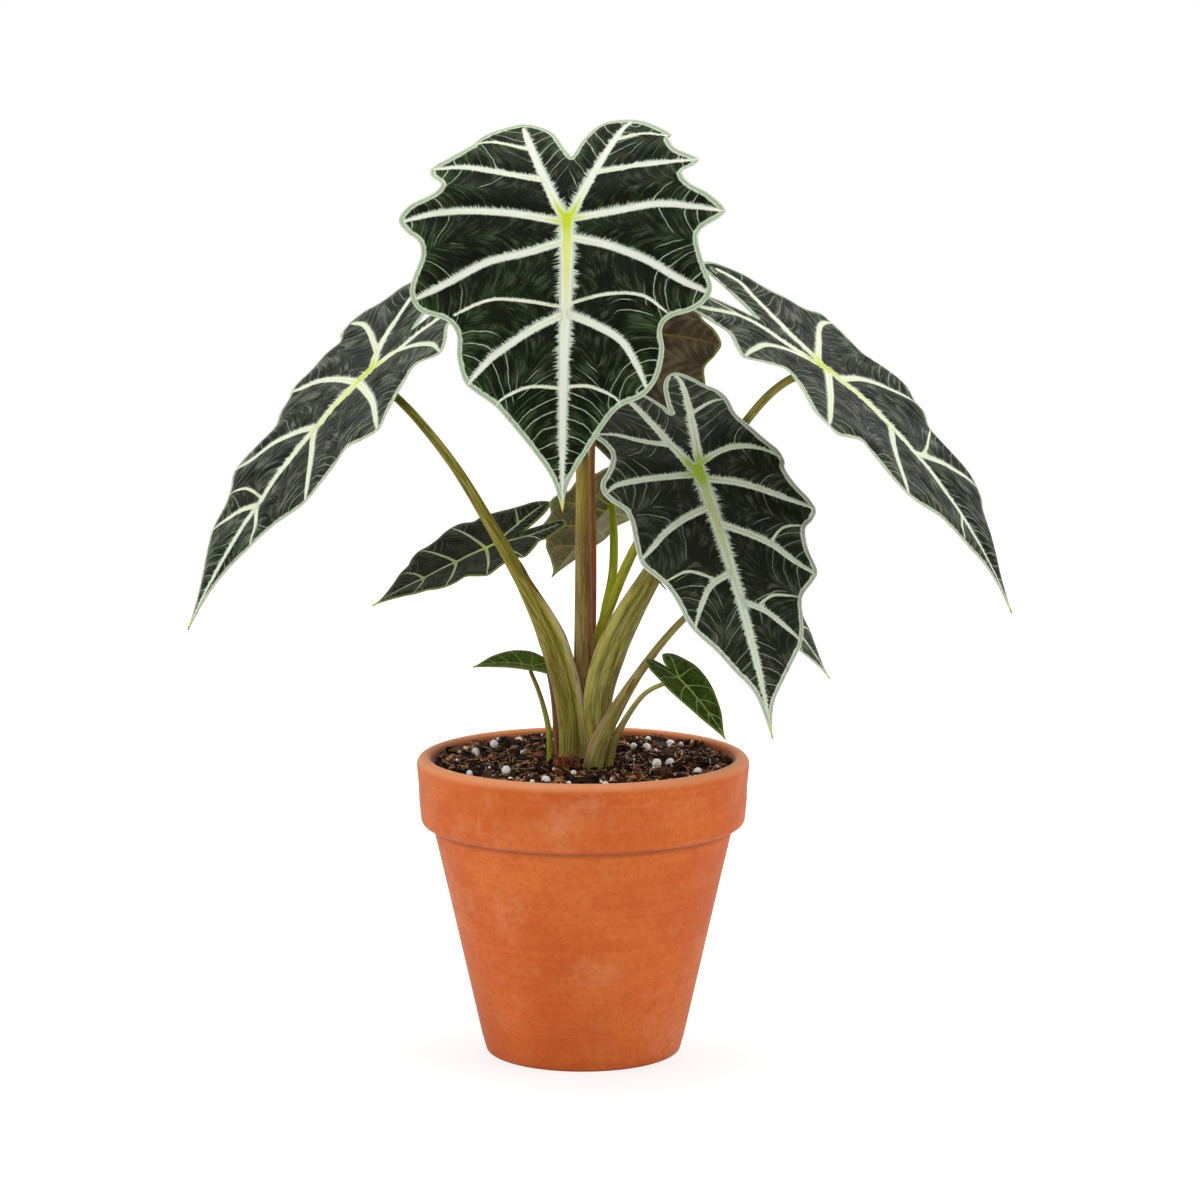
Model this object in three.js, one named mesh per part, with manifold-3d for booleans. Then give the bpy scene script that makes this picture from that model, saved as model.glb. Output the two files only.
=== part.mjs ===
// Potted alocasia polly: ten arrow-shaped leaves on sheathed stalks, in a terracotta pot.
// Millimetres, +Z up. The origin is on the pot's axis, on the surface the pot stands on.
// Seen from the front (along +Y), +X is to the right.
import * as THREE from 'three';
import { mergeVertices } from 'three/addons/utils/BufferGeometryUtils.js';
import Module from 'manifold-3d';

const wasm = await Module();
wasm.setup();

// Pot: a thrown body with a straight taper and a heavy rolled collar.
const potHeight = 135.8;
const rimRadius = 75;
const collarFootRadius = 73.2;
const creaseHeight = 104.4;
const creaseRadius = 68;
const footRadius = 44.5;
const wall = 6.5;
const floorThickness = 7;
const drainRadius = 10;
const potSides = 44;

// Potting mix: fills the pot to just under the lip.
const soilHeight = 131.8;
const soilSlope = (creaseRadius - footRadius) / creaseHeight;
const gap = 0.3;

// Corm: the stub of old stem that the stalks grow from.
const cormRadius = 18.5;
const cormTop = soilHeight + 2.2;
const cormFoot = 110;
const stalkFoot = 118;

// Leaf blades. The fold is rounded off beside the midrib, and flat stands in for a bend of zero.
const bladeThickness = 0.9;
const waveHeight = 1.1;
const midribRound = 3;
const flat = 1e-7;

const radians = THREE.MathUtils.degToRad;
const group = new THREE.Group();

// A small seeded generator, so that every build draws the same crumbs.
function randomFrom(seed) {
  let state = seed;
  return () => {
    state = (state * 16807) % 2147483647;
    return state / 2147483647;
  };
}

// A closed mesh to a solid that can be joined and cut, and back.
function toSolid(geometry) {
  const bare = geometry.clone();
  bare.deleteAttribute('normal');
  bare.deleteAttribute('uv');
  const merged = mergeVertices(bare, 1e-4);
  return new wasm.Manifold(new wasm.Mesh({
    numProp: 3,
    vertProperties: new Float32Array(merged.attributes.position.array),
    triVerts: new Uint32Array(merged.index.array),
  }));
}

function toGeometry(solid) {
  const mesh = solid.getMesh();
  const geometry = new THREE.BufferGeometry();
  geometry.setAttribute('position', new THREE.BufferAttribute(Float32Array.from(mesh.vertProperties), 3));
  geometry.setIndex(Array.from(mesh.triVerts));
  geometry.computeVertexNormals();
  return geometry;
}

function largest(solid) {
  return solid.decompose().reduce((best, one) => (one.volume() > best.volume() ? one : best));
}

function addPiece(parent, name, geometry, color, roughness) {
  const material = new THREE.MeshStandardMaterial({ color, roughness, metalness: 0 });
  const mesh = new THREE.Mesh(geometry, material);
  mesh.name = name;
  parent.add(mesh);
  return mesh;
}

// Closed skin over a list of rings with equal counts, with a flat cap at each end.
function skin(rings) {
  const positions = [];
  const index = [];
  const count = rings[0].length;
  for (const ring of rings) {
    for (const p of ring) {
      positions.push(p.x, p.y, p.z);
    }
  }
  for (let i = 0; i < rings.length - 1; i++) {
    for (let j = 0; j < count; j++) {
      const a = i * count + j;
      const b = i * count + (j + 1) % count;
      index.push(a, b, b + count, a, b + count, a + count);
    }
  }
  for (const [end, flip] of [[0, true], [rings.length - 1, false]]) {
    const middle = new THREE.Vector3();
    rings[end].forEach((p) => middle.addScaledVector(p, 1 / count));
    positions.push(middle.x, middle.y, middle.z);
    const m = positions.length / 3 - 1;
    for (let j = 0; j < count; j++) {
      const a = end * count + j;
      const b = end * count + (j + 1) % count;
      index.push(m, flip ? b : a, flip ? a : b);
    }
  }
  const geometry = new THREE.BufferGeometry();
  geometry.setAttribute('position', new THREE.Float32BufferAttribute(positions, 3));
  geometry.setIndex(index);
  geometry.computeVertexNormals();
  return geometry;
}

// Pot.
// One closed profile, turned about Z: up the outside, over the lip, down the inside, out through the hole.
function innerRadius(z) {
  return creaseRadius - wall + (z - creaseHeight) * soilSlope;
}

const potProfile = [
  [drainRadius, 0],
  [footRadius - 2.2, 0],
  [footRadius - 0.6, 0.5],
  [footRadius + 0.2, 2],
  [creaseRadius - 0.3, creaseHeight - 1.2],
  [creaseRadius + 1.2, creaseHeight - 0.2],
  [collarFootRadius - 1.6, creaseHeight + 1.4],
  [collarFootRadius - 0.2, creaseHeight + 3.6],
  [collarFootRadius + 0.3, creaseHeight + 7],
  [rimRadius - 0.3, potHeight - 9],
  [rimRadius, potHeight - 5.5],
  [rimRadius - 0.6, potHeight - 2.4],
  [rimRadius - 2, potHeight - 0.5],
  [rimRadius - 3.4, potHeight],
  [rimRadius - 5, potHeight - 0.3],
  [rimRadius - 6.2, potHeight - 1.6],
  [innerRadius(potHeight - 5), potHeight - 5],
  [innerRadius(floorThickness + 4), floorThickness + 4],
  [innerRadius(floorThickness) - 2.5, floorThickness],
  [drainRadius, floorThickness],
  [drainRadius, 0],
];
const potGeometry = new THREE.LatheGeometry(potProfile.map(([r, z]) => new THREE.Vector2(r, z)), potSides);
const pot = addPiece(group, 'terracotta_pot', potGeometry, 0xc4693f, 0.85);
pot.rotation.x = Math.PI / 2;

// Corm.
// A squat lumpy knob. Its radius swells and sinks round the axis.
const cormCentre = new THREE.Vector2(-1, 1);

function cormRings(extra) {
  const levels = [
    [cormFoot - extra, 9],
    [cormFoot + 5, 16.5],
    [cormTop - 7, cormRadius],
    [cormTop - 2.4, cormRadius - 0.8],
    [cormTop + extra, cormRadius - 4.5],
  ];
  const sides = 14;
  return levels.map(([z, radius], level) => {
    const ring = [];
    for (let j = 0; j < sides; j++) {
      const turn = (j / sides) * 2 * Math.PI;
      const lump = 0.9 * Math.sin(3 * turn + 1) + 0.6 * Math.sin(5 * turn + 0.7 * level);
      const r = radius + lump + extra;
      ring.push(new THREE.Vector3(cormCentre.x + r * Math.cos(turn), cormCentre.y + r * Math.sin(turn), z));
    }
    return ring;
  });
}

// Stalks.
// Each row: x, y, z, width across, depth. Low down the stalk flares into the sheath that clasps the next.
const stalkPaths = {
  A: {
    rows: [
      [0.3, 2.2, stalkFoot, 6, 5.5],
      [0.3, 2.2, 130, 9.6, 8],
      [0.4, 1.5, 160, 9.5, 7.6],
      [0.4, 0, 181, 9, 7.2],
      [0, -3, 224.5, 6.9, 6.4],
      [-0.2, -9, 270, 5.9, 5.6],
      [-2, -20, 324.5, 5.2, 5],
      [-5.2, -33, 365, 4.4, 4.4],
    ],
    sides: 12,
    tip: 4.2,
  },
  E: {
    rows: [
      [3, 15.2, stalkFoot, 3.6, 3.6],
      [3, 15.2, 130, 4.4, 4.2],
      [3.8, 15.8, 183, 4.2, 4],
      [4.3, 18, 229.5, 3.5, 3.4],
      [4, 22, 267, 2.8, 2.8],
      [6.3, 31, 302, 2.6, 2.6],
      [12, 39, 321, 2.6, 2.6],
    ],
    sides: 8,
    tip: 2.6,
  },
  D: {
    rows: [
      [5, 9.6, stalkFoot, 4.5, 4.5],
      [5, 9.6, 130, 6.8, 5.8],
      [5.2, 8.6, 150, 6.3, 5.2],
      [6.9, 5.6, 187, 5.2, 4.6],
      [13, 2, 205, 4.5, 4.2],
      [19.1, -3, 221.2, 4.6, 4.2],
      [27.6, -10, 239, 3.8, 3.8],
      [39.4, -22, 258, 3.6, 3.6],
      [46.2, -33, 266, 3.6, 3.6],
    ],
    sides: 10,
    tip: 3.6,
  },
  G: {
    rows: [
      [-3, 13.2, stalkFoot, 3.6, 3.6],
      [-3, 13.2, 130, 4.8, 4.6],
      [-0.5, 16, 149, 4.6, 4.6],
      [6.7, 21.5, 181, 4.6, 4.4],
      [10.8, 27.5, 199, 5, 3.8],
      [13.4, 36, 212.5, 4.1, 3.6],
      [14, 50, 229.5, 3.7, 3.5],
    ],
    sides: 8,
    tip: 3,
  },
  B: {
    rows: [
      [-5.2, -4.6, stalkFoot, 6.5, 5.5],
      [-5, -4.8, 130, 12, 7.6],
      [-4.4, -4.8, 143, 13, 8],
      [-6.2, -4.6, 161.5, 12.9, 7.8],
      [-13.6, -3.2, 188.5, 12.8, 7],
      [-26.4, -1, 213.8, 7.2, 5.4],
      [-41, 3, 239, 5.4, 4.8],
      [-57, 11, 264.2, 4.6, 4.5],
      [-74.3, 24, 284.6, 4, 4],
      [-88, 41, 296.2, 3.9, 3.9],
    ],
    sides: 12,
    tip: 4,
  },
  C: {
    rows: [
      [7, -5, stalkFoot, 6, 5.5],
      [7, -5, 130, 10, 7.6],
      [6.8, -5.2, 145.5, 11.4, 7.8],
      [6.6, -5.4, 161.5, 13.2, 7.8],
      [11.9, -6, 182, 14.2, 7],
      [20.4, -7, 200.5, 12.4, 6.2],
      [29.2, -8, 216, 10, 5.2],
      [47.6, -11, 248, 4.9, 4.4],
      [67.2, -17, 281.5, 3.9, 3.9],
      [83, -27, 302, 3.7, 3.7],
      [94, -37, 310, 3.7, 3.7],
    ],
    sides: 12,
    tip: 3.8,
  },
  J: {
    rows: [
      [4.2, -13.4, stalkFoot, 5.5, 4.5],
      [4.2, -13.4, 130.5, 9.2, 6.6],
      [7.4, -13, 143.5, 8.4, 5.8],
      [14.2, -11.6, 157, 6.6, 4.6],
      [24.4, -8, 173, 4.3, 3.8],
      [38.8, -2, 191, 3.4, 3.2],
      [54.8, 5, 206, 2.8, 2.8],
      [66, 11.5, 216, 2.7, 2.7],
    ],
    sides: 8,
    tip: 2.6,
  },
  F: {
    rows: [
      [-11.3, 6, stalkFoot, 3.2, 3.2],
      [-11.3, 6, 130, 4, 3.8],
      [-12, 10.5, 143, 3.2, 3],
      [-13.6, 16, 160, 2.6, 2.6],
      [-17.2, 21.5, 178, 2.4, 2.4],
      [-22, 27, 200, 2.4, 2.4],
      [-30.4, 31.5, 215.5, 2.4, 2.4],
    ],
    sides: 8,
    tip: 2.6,
  },
  H: {
    rows: [
      [-14.8, -2, 120, 2.6, 2.6],
      [-14.8, -2, 131, 3.4, 3.2],
      [-15.4, -1, 146.5, 2.7, 2.7],
      [-17.8, 2.6, 157, 2.3, 2.3],
      [-20.6, 6.5, 165, 2.1, 2.1],
    ],
    sides: 8,
    tip: 1.8,
  },
  I: {
    rows: [
      [11.2, -11.4, 120, 3.4, 3.2],
      [11.2, -11.4, 130.5, 4.1, 3.8],
      [13.8, -11.8, 143, 3.6, 3.4],
      [19.6, -12.6, 155, 2.8, 2.8],
      [27.6, -15, 166, 2.3, 2.3],
      [35, -17.4, 170.5, 2.1, 2.1],
    ],
    sides: 8,
    tip: 2,
  },
};

// Blades.
// Outlines lie flat: first number along the midrib from the hub (where the stalk joins) towards the tip,
// second number out to the side. Both sides run from the notch between the hind lobes to the tip.
const outlineA = {
  right: [
    [-32, 0], [-44, 5.5], [-51, 13], [-50, 24], [-45, 34], [-36.5, 45], [-33, 44], [-27, 48],
    [-21, 58], [-17.5, 57], [-14, 51.5], [-9, 55], [-3, 64], [4, 71], [8, 69], [12, 61.5],
    [17, 59.5], [27, 62], [38, 66], [44, 63], [48, 57], [50.5, 48], [55, 44], [64, 45],
    [75, 42.5], [83, 36], [87, 26], [93, 20], [103, 13], [115, 5], [123, 1.5], [132, 0],
  ],
  left: [
    [-32, 0], [-37, 3.5], [-46, 9], [-50, 15.5], [-51, 23], [-47, 31], [-41, 39], [-36.5, 43.5],
    [-32.5, 44.5], [-27, 52], [-21, 60], [-16, 60], [-11.5, 55], [-7, 59], [-1.5, 68], [5, 72.5],
    [11, 69], [16, 63], [22, 62], [32, 65], [39, 66], [46, 62], [50.5, 50], [56, 45.5],
    [66, 45], [76, 42], [80.5, 37], [86, 29], [93.5, 22], [105, 12.5], [116, 5], [126, 1.5], [132, 0],
  ],
};
const outlineB = {
  right: [
    [-29, 0], [-40, 5], [-52, 12], [-60, 22], [-58, 33], [-48, 37], [-41, 35], [-34, 38],
    [-27, 48], [-19, 53], [-9, 47], [1, 50], [10, 57], [19, 64], [27, 67], [35, 62],
    [41, 56], [50, 55], [61, 55], [71, 53], [78, 46], [85, 36], [93, 28], [103, 20],
    [112, 12], [123, 5.5], [133, 2], [146, 0],
  ],
  left: [
    [-29, 0], [-40, 5], [-52, 12], [-61, 22], [-60, 34], [-54, 46], [-47, 50], [-36, 51],
    [-28, 61], [-20, 66], [-12.5, 61], [-8, 54], [0, 53], [11, 54], [21, 55], [29, 52],
    [36, 44], [44, 40], [55, 43], [65, 46], [73, 45], [79, 38], [87, 32.5], [99, 30],
    [108, 24], [120, 14], [132, 6], [146, 0],
  ],
};
const outlineC = {
  right: [
    [-35, 0], [-47, 4], [-61, 8], [-73, 12], [-71, 20], [-60, 30], [-48, 35], [-39, 38],
    [-31, 45], [-25, 54], [-20, 57], [-12, 54], [-5, 49], [3, 50.5], [14, 57], [24, 60.5],
    [33, 58], [41, 50], [48, 45], [59, 48], [69, 54], [78, 56], [87, 51], [93, 42],
    [103, 34], [113, 24], [124, 11], [138, 0],
  ],
  left: [
    [-35, 0], [-44, 5], [-56, 13], [-63, 21], [-60, 32], [-52, 36], [-41, 35], [-32, 38],
    [-24, 45], [-18, 48], [-12, 44], [-3, 37], [4, 38.5], [13, 48], [23, 60], [32, 64],
    [38, 61], [45, 53], [53, 52], [63, 56], [73, 56], [80, 50], [88, 35], [95, 28],
    [105, 20], [115, 9], [125, 3], [138, 0],
  ],
};
const outlineD = {
  right: [
    [-31, 0], [-36, 0.8], [-48, 5], [-56.5, 11], [-55.5, 15], [-49, 18.5], [-41, 21.5], [-34.5, 25.5],
    [-28, 27], [-20, 27], [-10, 31], [-3.5, 35.5], [1, 38.5], [6, 40], [10, 38], [17.5, 41],
    [25, 45], [31, 46.5], [34.5, 44], [38, 38.5], [46.5, 38], [56.5, 39.5], [60.5, 36.5], [66, 29.5],
    [73.5, 27.5], [81, 26], [87, 23], [92.5, 18], [100, 11], [107, 5], [114, 2], [123, 0],
  ],
  left: [
    [-31, 0], [-36, 0.8], [-48, 5.5], [-56, 11], [-54, 21], [-46, 30], [-37, 36], [-26, 39],
    [-20.5, 37], [-14, 37], [-8, 41], [-3, 46.5], [1.5, 47.5], [7, 45.5], [12.5, 41.5], [18.5, 40.5],
    [26.5, 42], [36.5, 42.5], [43, 38], [49.5, 33.5], [57.5, 31], [66, 29], [72, 25.5], [80, 19],
    [90, 12.5], [99, 6], [106.5, 3], [123, 0],
  ],
};
// Middle-sized and young leaves are alike on both sides, in hundredths of the length from hub to tip.
const middleSide = [
  [-24, 0], [-33, 4], [-43, 9], [-50, 15], [-50, 22], [-42, 28], [-33, 32], [-26, 33],
  [-20, 38], [-10, 45], [-3, 43], [4, 44], [12, 50], [20, 53], [27, 49], [34, 43],
  [42, 43], [50, 43], [57, 38], [62, 31], [70, 26], [78, 17], [87, 8], [93, 3], [100, 0],
];
const youngSide = [
  [-20, 0], [-31, 4], [-41, 11], [-43, 18], [-36, 27], [-22, 34], [-5, 38], [14, 38],
  [32, 34], [50, 27], [66, 20], [80, 11], [91, 4], [100, 0],
];
const middleOutline = { right: middleSide, left: middleSide };
const youngOutline = { right: youngSide, left: youngSide };

// How each blade sits. hub: the join in space. heading: the compass turn of the midrib, 0 is +X and 90 is
// +Y. pitch: its rise at the hub. roll: right edge up. droop and hindDroop: how far the front and the hind
// lobes curl down, and cup: across, all in degrees for each 100 mm. fold: each half's rise from the midrib.
// twist: degrees for each 100 mm along the midrib. slim: width beside the outline's own.
const blades = {
  A: {
    hub: [-6.6, -42, 379.3], heading: -94.7, pitch: -59.5, roll: 3.9, droop: 17.8, hindDroop: 49.4,
    cup: 0, fold: 10.6, twist: -3.4, outline: outlineA, scale: 1, slim: 1, rings: [0.32, 0.68, 1],
  },
  B: {
    hub: [-97.8, 55, 304.2], heading: 201.5, pitch: -41.6, roll: -2.8, droop: 15.4, hindDroop: 0,
    cup: 0, fold: 2.5, twist: -0.3, outline: outlineB, scale: 1, slim: 1, rings: [0.32, 0.68, 1],
  },
  C: {
    hub: [102.7, -45, 315.8], heading: -22.2, pitch: -33.5, roll: 2.7, droop: 24, hindDroop: 0,
    cup: 0, fold: 0.3, twist: -8.8, outline: outlineC, scale: 1, slim: 1, rings: [0.32, 0.68, 1],
  },
  D: {
    hub: [50.1, -42, 269.9], heading: -49.7, pitch: -59.4, roll: 18.9, droop: 19.4, hindDroop: 78.4,
    cup: 0, fold: 4.7, twist: -8.9, outline: outlineD, scale: 1, slim: 1, rings: [0.32, 0.68, 1],
  },
  E: {
    hub: [14.9, 45, 330.1], heading: 78, pitch: -60, roll: 0, droop: 22, hindDroop: 40,
    cup: -20, fold: 4, twist: 0, outline: middleOutline, scale: 0.88, slim: 1, rings: [0.3, 0.66, 1],
  },
  F: {
    hub: [-39.8, 34, 226.9], heading: 191.5, pitch: -22.5, roll: -12, droop: 9, hindDroop: -18,
    cup: 0, fold: 5, twist: 10, outline: middleOutline, scale: 0.63, slim: 1.08, rings: [0.3, 0.66, 1],
  },
  G: {
    hub: [12.4, 60, 241.8], heading: 156, pitch: -46.5, roll: 21, droop: 18, hindDroop: 26,
    cup: 0, fold: 13, twist: -13, outline: middleOutline, scale: 0.46, slim: 1.28, rings: [0.3, 0.66, 1],
  },
  J: {
    hub: [71.7, 15, 222.1], heading: 1, pitch: -50, roll: 15, droop: 11, hindDroop: 15,
    cup: 0, fold: 2, twist: 0, outline: middleOutline, scale: 0.677, slim: 0.86, rings: [0.3, 0.66, 1],
  },
  H: {
    hub: [-23.4, 10, 174.4], heading: 193, pitch: 14.5, roll: -15.5, droop: 108, hindDroop: 22,
    cup: 0, fold: 15.5, twist: 0, outline: youngOutline, scale: 0.27, slim: 1.08, rings: [0.34, 0.7, 1],
  },
  I: {
    hub: [42.4, -20, 174], heading: -42.5, pitch: -33, roll: 7, droop: 50, hindDroop: 38,
    cup: 0, fold: 9.5, twist: -4.5, outline: youngOutline, scale: 0.37, slim: 0.87, rings: [0.34, 0.7, 1],
  },
};

// A blade is drawn in its own frame: X along the midrib, Y to the right edge, Z out of the upper side.
const ownSide = new THREE.Vector3(0, 1, 0);
const ownUp = new THREE.Vector3(0, 0, 1);

function bladeTurn({ roll, pitch, heading }) {
  return new THREE.Euler(radians(roll), -radians(pitch), radians(heading), 'ZYX');
}

// A flat point (a along the midrib, b to the side, h above the blade's middle) on the curved blade.
function onBlade(blade, a, b, h) {
  const bend = radians(a >= 0 ? blade.droop : blade.hindDroop) / 100 || flat;
  const turn = bend * a;
  const twist = radians(blade.twist) * a / 100;
  const upHere = new THREE.Vector3(Math.sin(turn), 0, Math.cos(turn));
  const sideHere = ownSide.clone().multiplyScalar(Math.cos(twist)).addScaledVector(upHere, Math.sin(twist));
  const normal = upHere.clone().multiplyScalar(Math.cos(twist)).addScaledVector(ownSide, -Math.sin(twist));
  const cup = radians(blade.cup) / 100 || flat;
  const fold = radians(blade.fold);
  const across = Math.sin(cup * b) / cup * Math.cos(fold);
  const foldRise = Math.sin(fold) * (Math.hypot(b, midribRound) - midribRound);
  const cupRise = -(1 - Math.cos(cup * b)) / cup;
  return new THREE.Vector3(Math.sin(turn) / bend, 0, -(1 - Math.cos(turn)) / bend)
    .addScaledVector(sideHere, across)
    .addScaledVector(normal, cupRise + foldRise + h);
}

// The edge dips at the points where the veins end and lifts in the bays between them.
function edgeLift(side) {
  const reach = side.map(([a, b]) => Math.hypot(a, b));
  return side.map((point, i) => {
    if (i < 2 || i > side.length - 3) {
      return 0;
    }
    if (reach[i] > reach[i - 1] && reach[i] > reach[i + 1]) {
      return -waveHeight;
    }
    return reach[i] < reach[i - 1] && reach[i] < reach[i + 1] ? waveHeight : 0;
  });
}

// Edge points of one side with their lift, with one more wherever two of them lie far apart.
function edgeOf(points, { scale, slim }) {
  const lifts = edgeLift(points);
  const side = points.map(([a, b], i) => new THREE.Vector3(a * scale, b * scale * slim, lifts[i] * scale));
  const curve = new THREE.CatmullRomCurve3(side, false, 'catmullrom', 0.5);
  const edge = [];
  for (let i = 0; i < side.length; i++) {
    edge.push(side[i]);
    if (i < side.length - 1 && side[i].distanceTo(side[i + 1]) > 10.5) {
      edge.push(curve.getPoint((i + 0.5) / (side.length - 1)));
    }
  }
  return edge;
}

// Upper and lower face share one pattern of triangles, fanned out from the hub.
function bladeGeometry(blade) {
  const right = edgeOf(blade.outline.right, blade);
  const left = edgeOf(blade.outline.left, blade);
  const edge = right.slice();
  for (const p of left.slice(1, -1).reverse()) {
    edge.push(new THREE.Vector3(p.x, -p.y, p.z));
  }
  const count = edge.length;
  const positions = [];
  const index = [];
  const faceSize = 1 + blade.rings.length * count;
  for (const h of [bladeThickness / 2, -bladeThickness / 2]) {
    onBlade(blade, 0, 0, h).toArray(positions, positions.length);
    for (const ring of blade.rings) {
      for (const p of edge) {
        const lift = p.z * ring ** 3;
        onBlade(blade, p.x * ring, p.y * ring, lift + h).toArray(positions, positions.length);
      }
    }
  }
  const face = (a, b, c) => {
    index.push(a, b, c);
    index.push(a + faceSize, c + faceSize, b + faceSize);
  };
  for (let j = 0; j < count; j++) {
    const next = (j + 1) % count;
    face(0, 1 + next, 1 + j);
    for (let i = 0; i < blade.rings.length - 1; i++) {
      const a = 1 + i * count + j;
      const b = 1 + i * count + next;
      face(a, b, b + count);
      face(a, b + count, a + count);
    }
    const rimA = 1 + (blade.rings.length - 1) * count + j;
    const rimB = 1 + (blade.rings.length - 1) * count + next;
    index.push(rimA, rimB, rimB + faceSize, rimA, rimB + faceSize, rimA + faceSize);
  }
  const geometry = new THREE.BufferGeometry();
  geometry.setAttribute('position', new THREE.Float32BufferAttribute(positions, 3));
  geometry.setIndex(index);
  geometry.computeVertexNormals();
  return geometry;
}

// Stalk rings follow a smooth path through the rows, and the last ring lies flat under the blade's hub.
function stalkRings(name, extra) {
  const { rows, sides, tip } = stalkPaths[name];
  const blade = blades[name];
  const side = ownSide.clone().applyEuler(bladeTurn(blade));
  const up = ownUp.clone().applyEuler(bladeTurn(blade));
  const hub = new THREE.Vector3(...blade.hub);
  const end = hub.clone().addScaledVector(up, -bladeThickness / 2 - gap - 0.1);
  const below = hub.clone().addScaledVector(up, -3.2 - tip);
  const points = rows.map(([x, y, z]) => new THREE.Vector3(x, y, z)).concat([below, end]);
  const sizes = rows.map((row) => [row[3], row[4]]).concat([[tip, tip], [tip, tip]]);
  const path = new THREE.CatmullRomCurve3(points, false, 'centripetal');
  const rings = [];
  for (let i = 0; i < points.length; i++) {
    const steps = i < points.length - 2 ? 2 : 1;
    for (let s = 0; s < steps && i + s / steps <= points.length - 1; s++) {
      const at = (i + s / steps) / (points.length - 1);
      const last = i === points.length - 1;
      const centre = path.getPoint(at);
      const tangent = last ? up : path.getTangent(at);
      const across = last
        ? side.clone()
        : new THREE.Vector3().crossVectors(tangent, new THREE.Vector3(0, 1, 0)).normalize().negate();
      const inward = new THREE.Vector3().crossVectors(tangent, across).normalize();
      const next = sizes[Math.min(i + 1, sizes.length - 1)];
      const width = THREE.MathUtils.lerp(sizes[i][0], next[0], s / steps) / 2 + extra;
      const depth = THREE.MathUtils.lerp(sizes[i][1], next[1], s / steps) / 2 + extra;
      const ring = [];
      for (let j = 0; j < sides; j++) {
        const turn = (j / sides) * 2 * Math.PI;
        ring.push(centre.clone()
          .addScaledVector(across, width * Math.cos(turn))
          .addScaledVector(inward, depth * Math.sin(turn)));
      }
      rings.push(ring);
    }
  }
  return rings;
}

// Inner stalks come first. Each later sheath is hollowed where it clasps an earlier stalk.
const stalkOrder = ['A', 'E', 'D', 'G', 'B', 'C', 'J', 'F', 'H', 'I'];
const stalkColors = {
  A: 0x7a6a42, B: 0x8f9058, C: 0x8c8a55, D: 0x9aa05a, E: 0x8a4d35,
  F: 0x86603f, G: 0xa3b25e, H: 0x8b9058, I: 0x8b9058, J: 0x8a8450,
};
const placedStalks = [];
const leaves = {};
for (const name of stalkOrder) {
  let solid = toSolid(skin(stalkRings(name, 0)));
  for (const other of placedStalks) {
    if (!solid.intersect(other).isEmpty()) {
      solid = solid.subtract(other);
    }
  }
  placedStalks.push(toSolid(skin(stalkRings(name, gap))));
  leaves[name] = new THREE.Group();
  group.add(leaves[name]);
  addPiece(leaves[name], `stalk_${name}`, toGeometry(largest(solid)), stalkColors[name], 0.5);
}

// Corm with a socket for every stalk.
let corm = toSolid(skin(cormRings(0)));
for (const stalk of placedStalks) {
  corm = corm.subtract(stalk);
}
addPiece(group, 'corm', toGeometry(largest(corm)), 0x7b4a2a, 0.9);

const bladeColors = {
  A: 0x1d2f1f, B: 0x1f3020, C: 0x1f3020, D: 0x1c2a1e, E: 0x4a3a2c,
  F: 0x2b3520, G: 0x4c5540, H: 0x2f4a24, I: 0x2e5a22, J: 0x243322,
};
for (const [name, blade] of Object.entries(blades)) {
  const mesh = addPiece(leaves[name], `blade_${name}`, bladeGeometry(blade), bladeColors[name], 0.42);
  mesh.position.set(...blade.hub);
  mesh.rotation.copy(bladeTurn(blade));
}

// Potting mix.
// A plug that follows the pot's inner wall, with an uneven top.
const soilFoot = floorThickness + gap;

function soilTop(x, y) {
  const swell = 1.1 * Math.sin(x * 0.13 + 0.6) * Math.cos(y * 0.15) + 0.7 * Math.sin(x * 0.31 + y * 0.27);
  return soilHeight + swell;
}

const soilSides = 30;
const soilRings = [];
const soilLevels = [
  [soilFoot, innerRadius(floorThickness) - 3],
  [floorThickness + 4.5, innerRadius(floorThickness + 4.5) - 0.5],
  [soilHeight - 4, innerRadius(soilHeight - 4) - 0.5],
];
for (const [z, radius] of soilLevels) {
  const ring = [];
  for (let j = 0; j < soilSides; j++) {
    const turn = (j / soilSides) * 2 * Math.PI;
    ring.push(new THREE.Vector3(radius * Math.cos(turn), radius * Math.sin(turn), z));
  }
  soilRings.push(ring);
}
for (const radius of [innerRadius(soilHeight) - 0.9, 56, 44, 31, 20, 9]) {
  const ring = [];
  for (let j = 0; j < soilSides; j++) {
    const turn = (j / soilSides) * 2 * Math.PI;
    const x = radius * Math.cos(turn);
    const y = radius * Math.sin(turn);
    ring.push(new THREE.Vector3(x, y, soilTop(x, y)));
  }
  soilRings.push(ring);
}
let soil = toSolid(skin(soilRings));

// Bark chunks: tilted blocks sunk half their height, spread evenly by the golden angle.
const random = randomFrom(41);
const chunkCount = 40;
const goldenAngle = Math.PI * (3 - Math.sqrt(5));
const reach = innerRadius(soilHeight) - 7;
for (let i = 0; i < chunkCount; i++) {
  const radius = 20 + (reach - 20) * Math.sqrt((i + 0.5) / chunkCount);
  const turn = i * goldenAngle;
  const x = radius * Math.cos(turn);
  const y = radius * Math.sin(turn);
  const size = 3 + 4.5 * random();
  const chunk = new THREE.BoxGeometry(size * 1.5, size, 3 + 1.5 * random());
  chunk.rotateX((random() - 0.5) * 0.7);
  chunk.rotateY((random() - 0.5) * 0.7);
  chunk.rotateZ(random() * Math.PI);
  chunk.translate(x, y, soilTop(x, y) + 0.3);
  soil = soil.add(toSolid(chunk));
}

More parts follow.
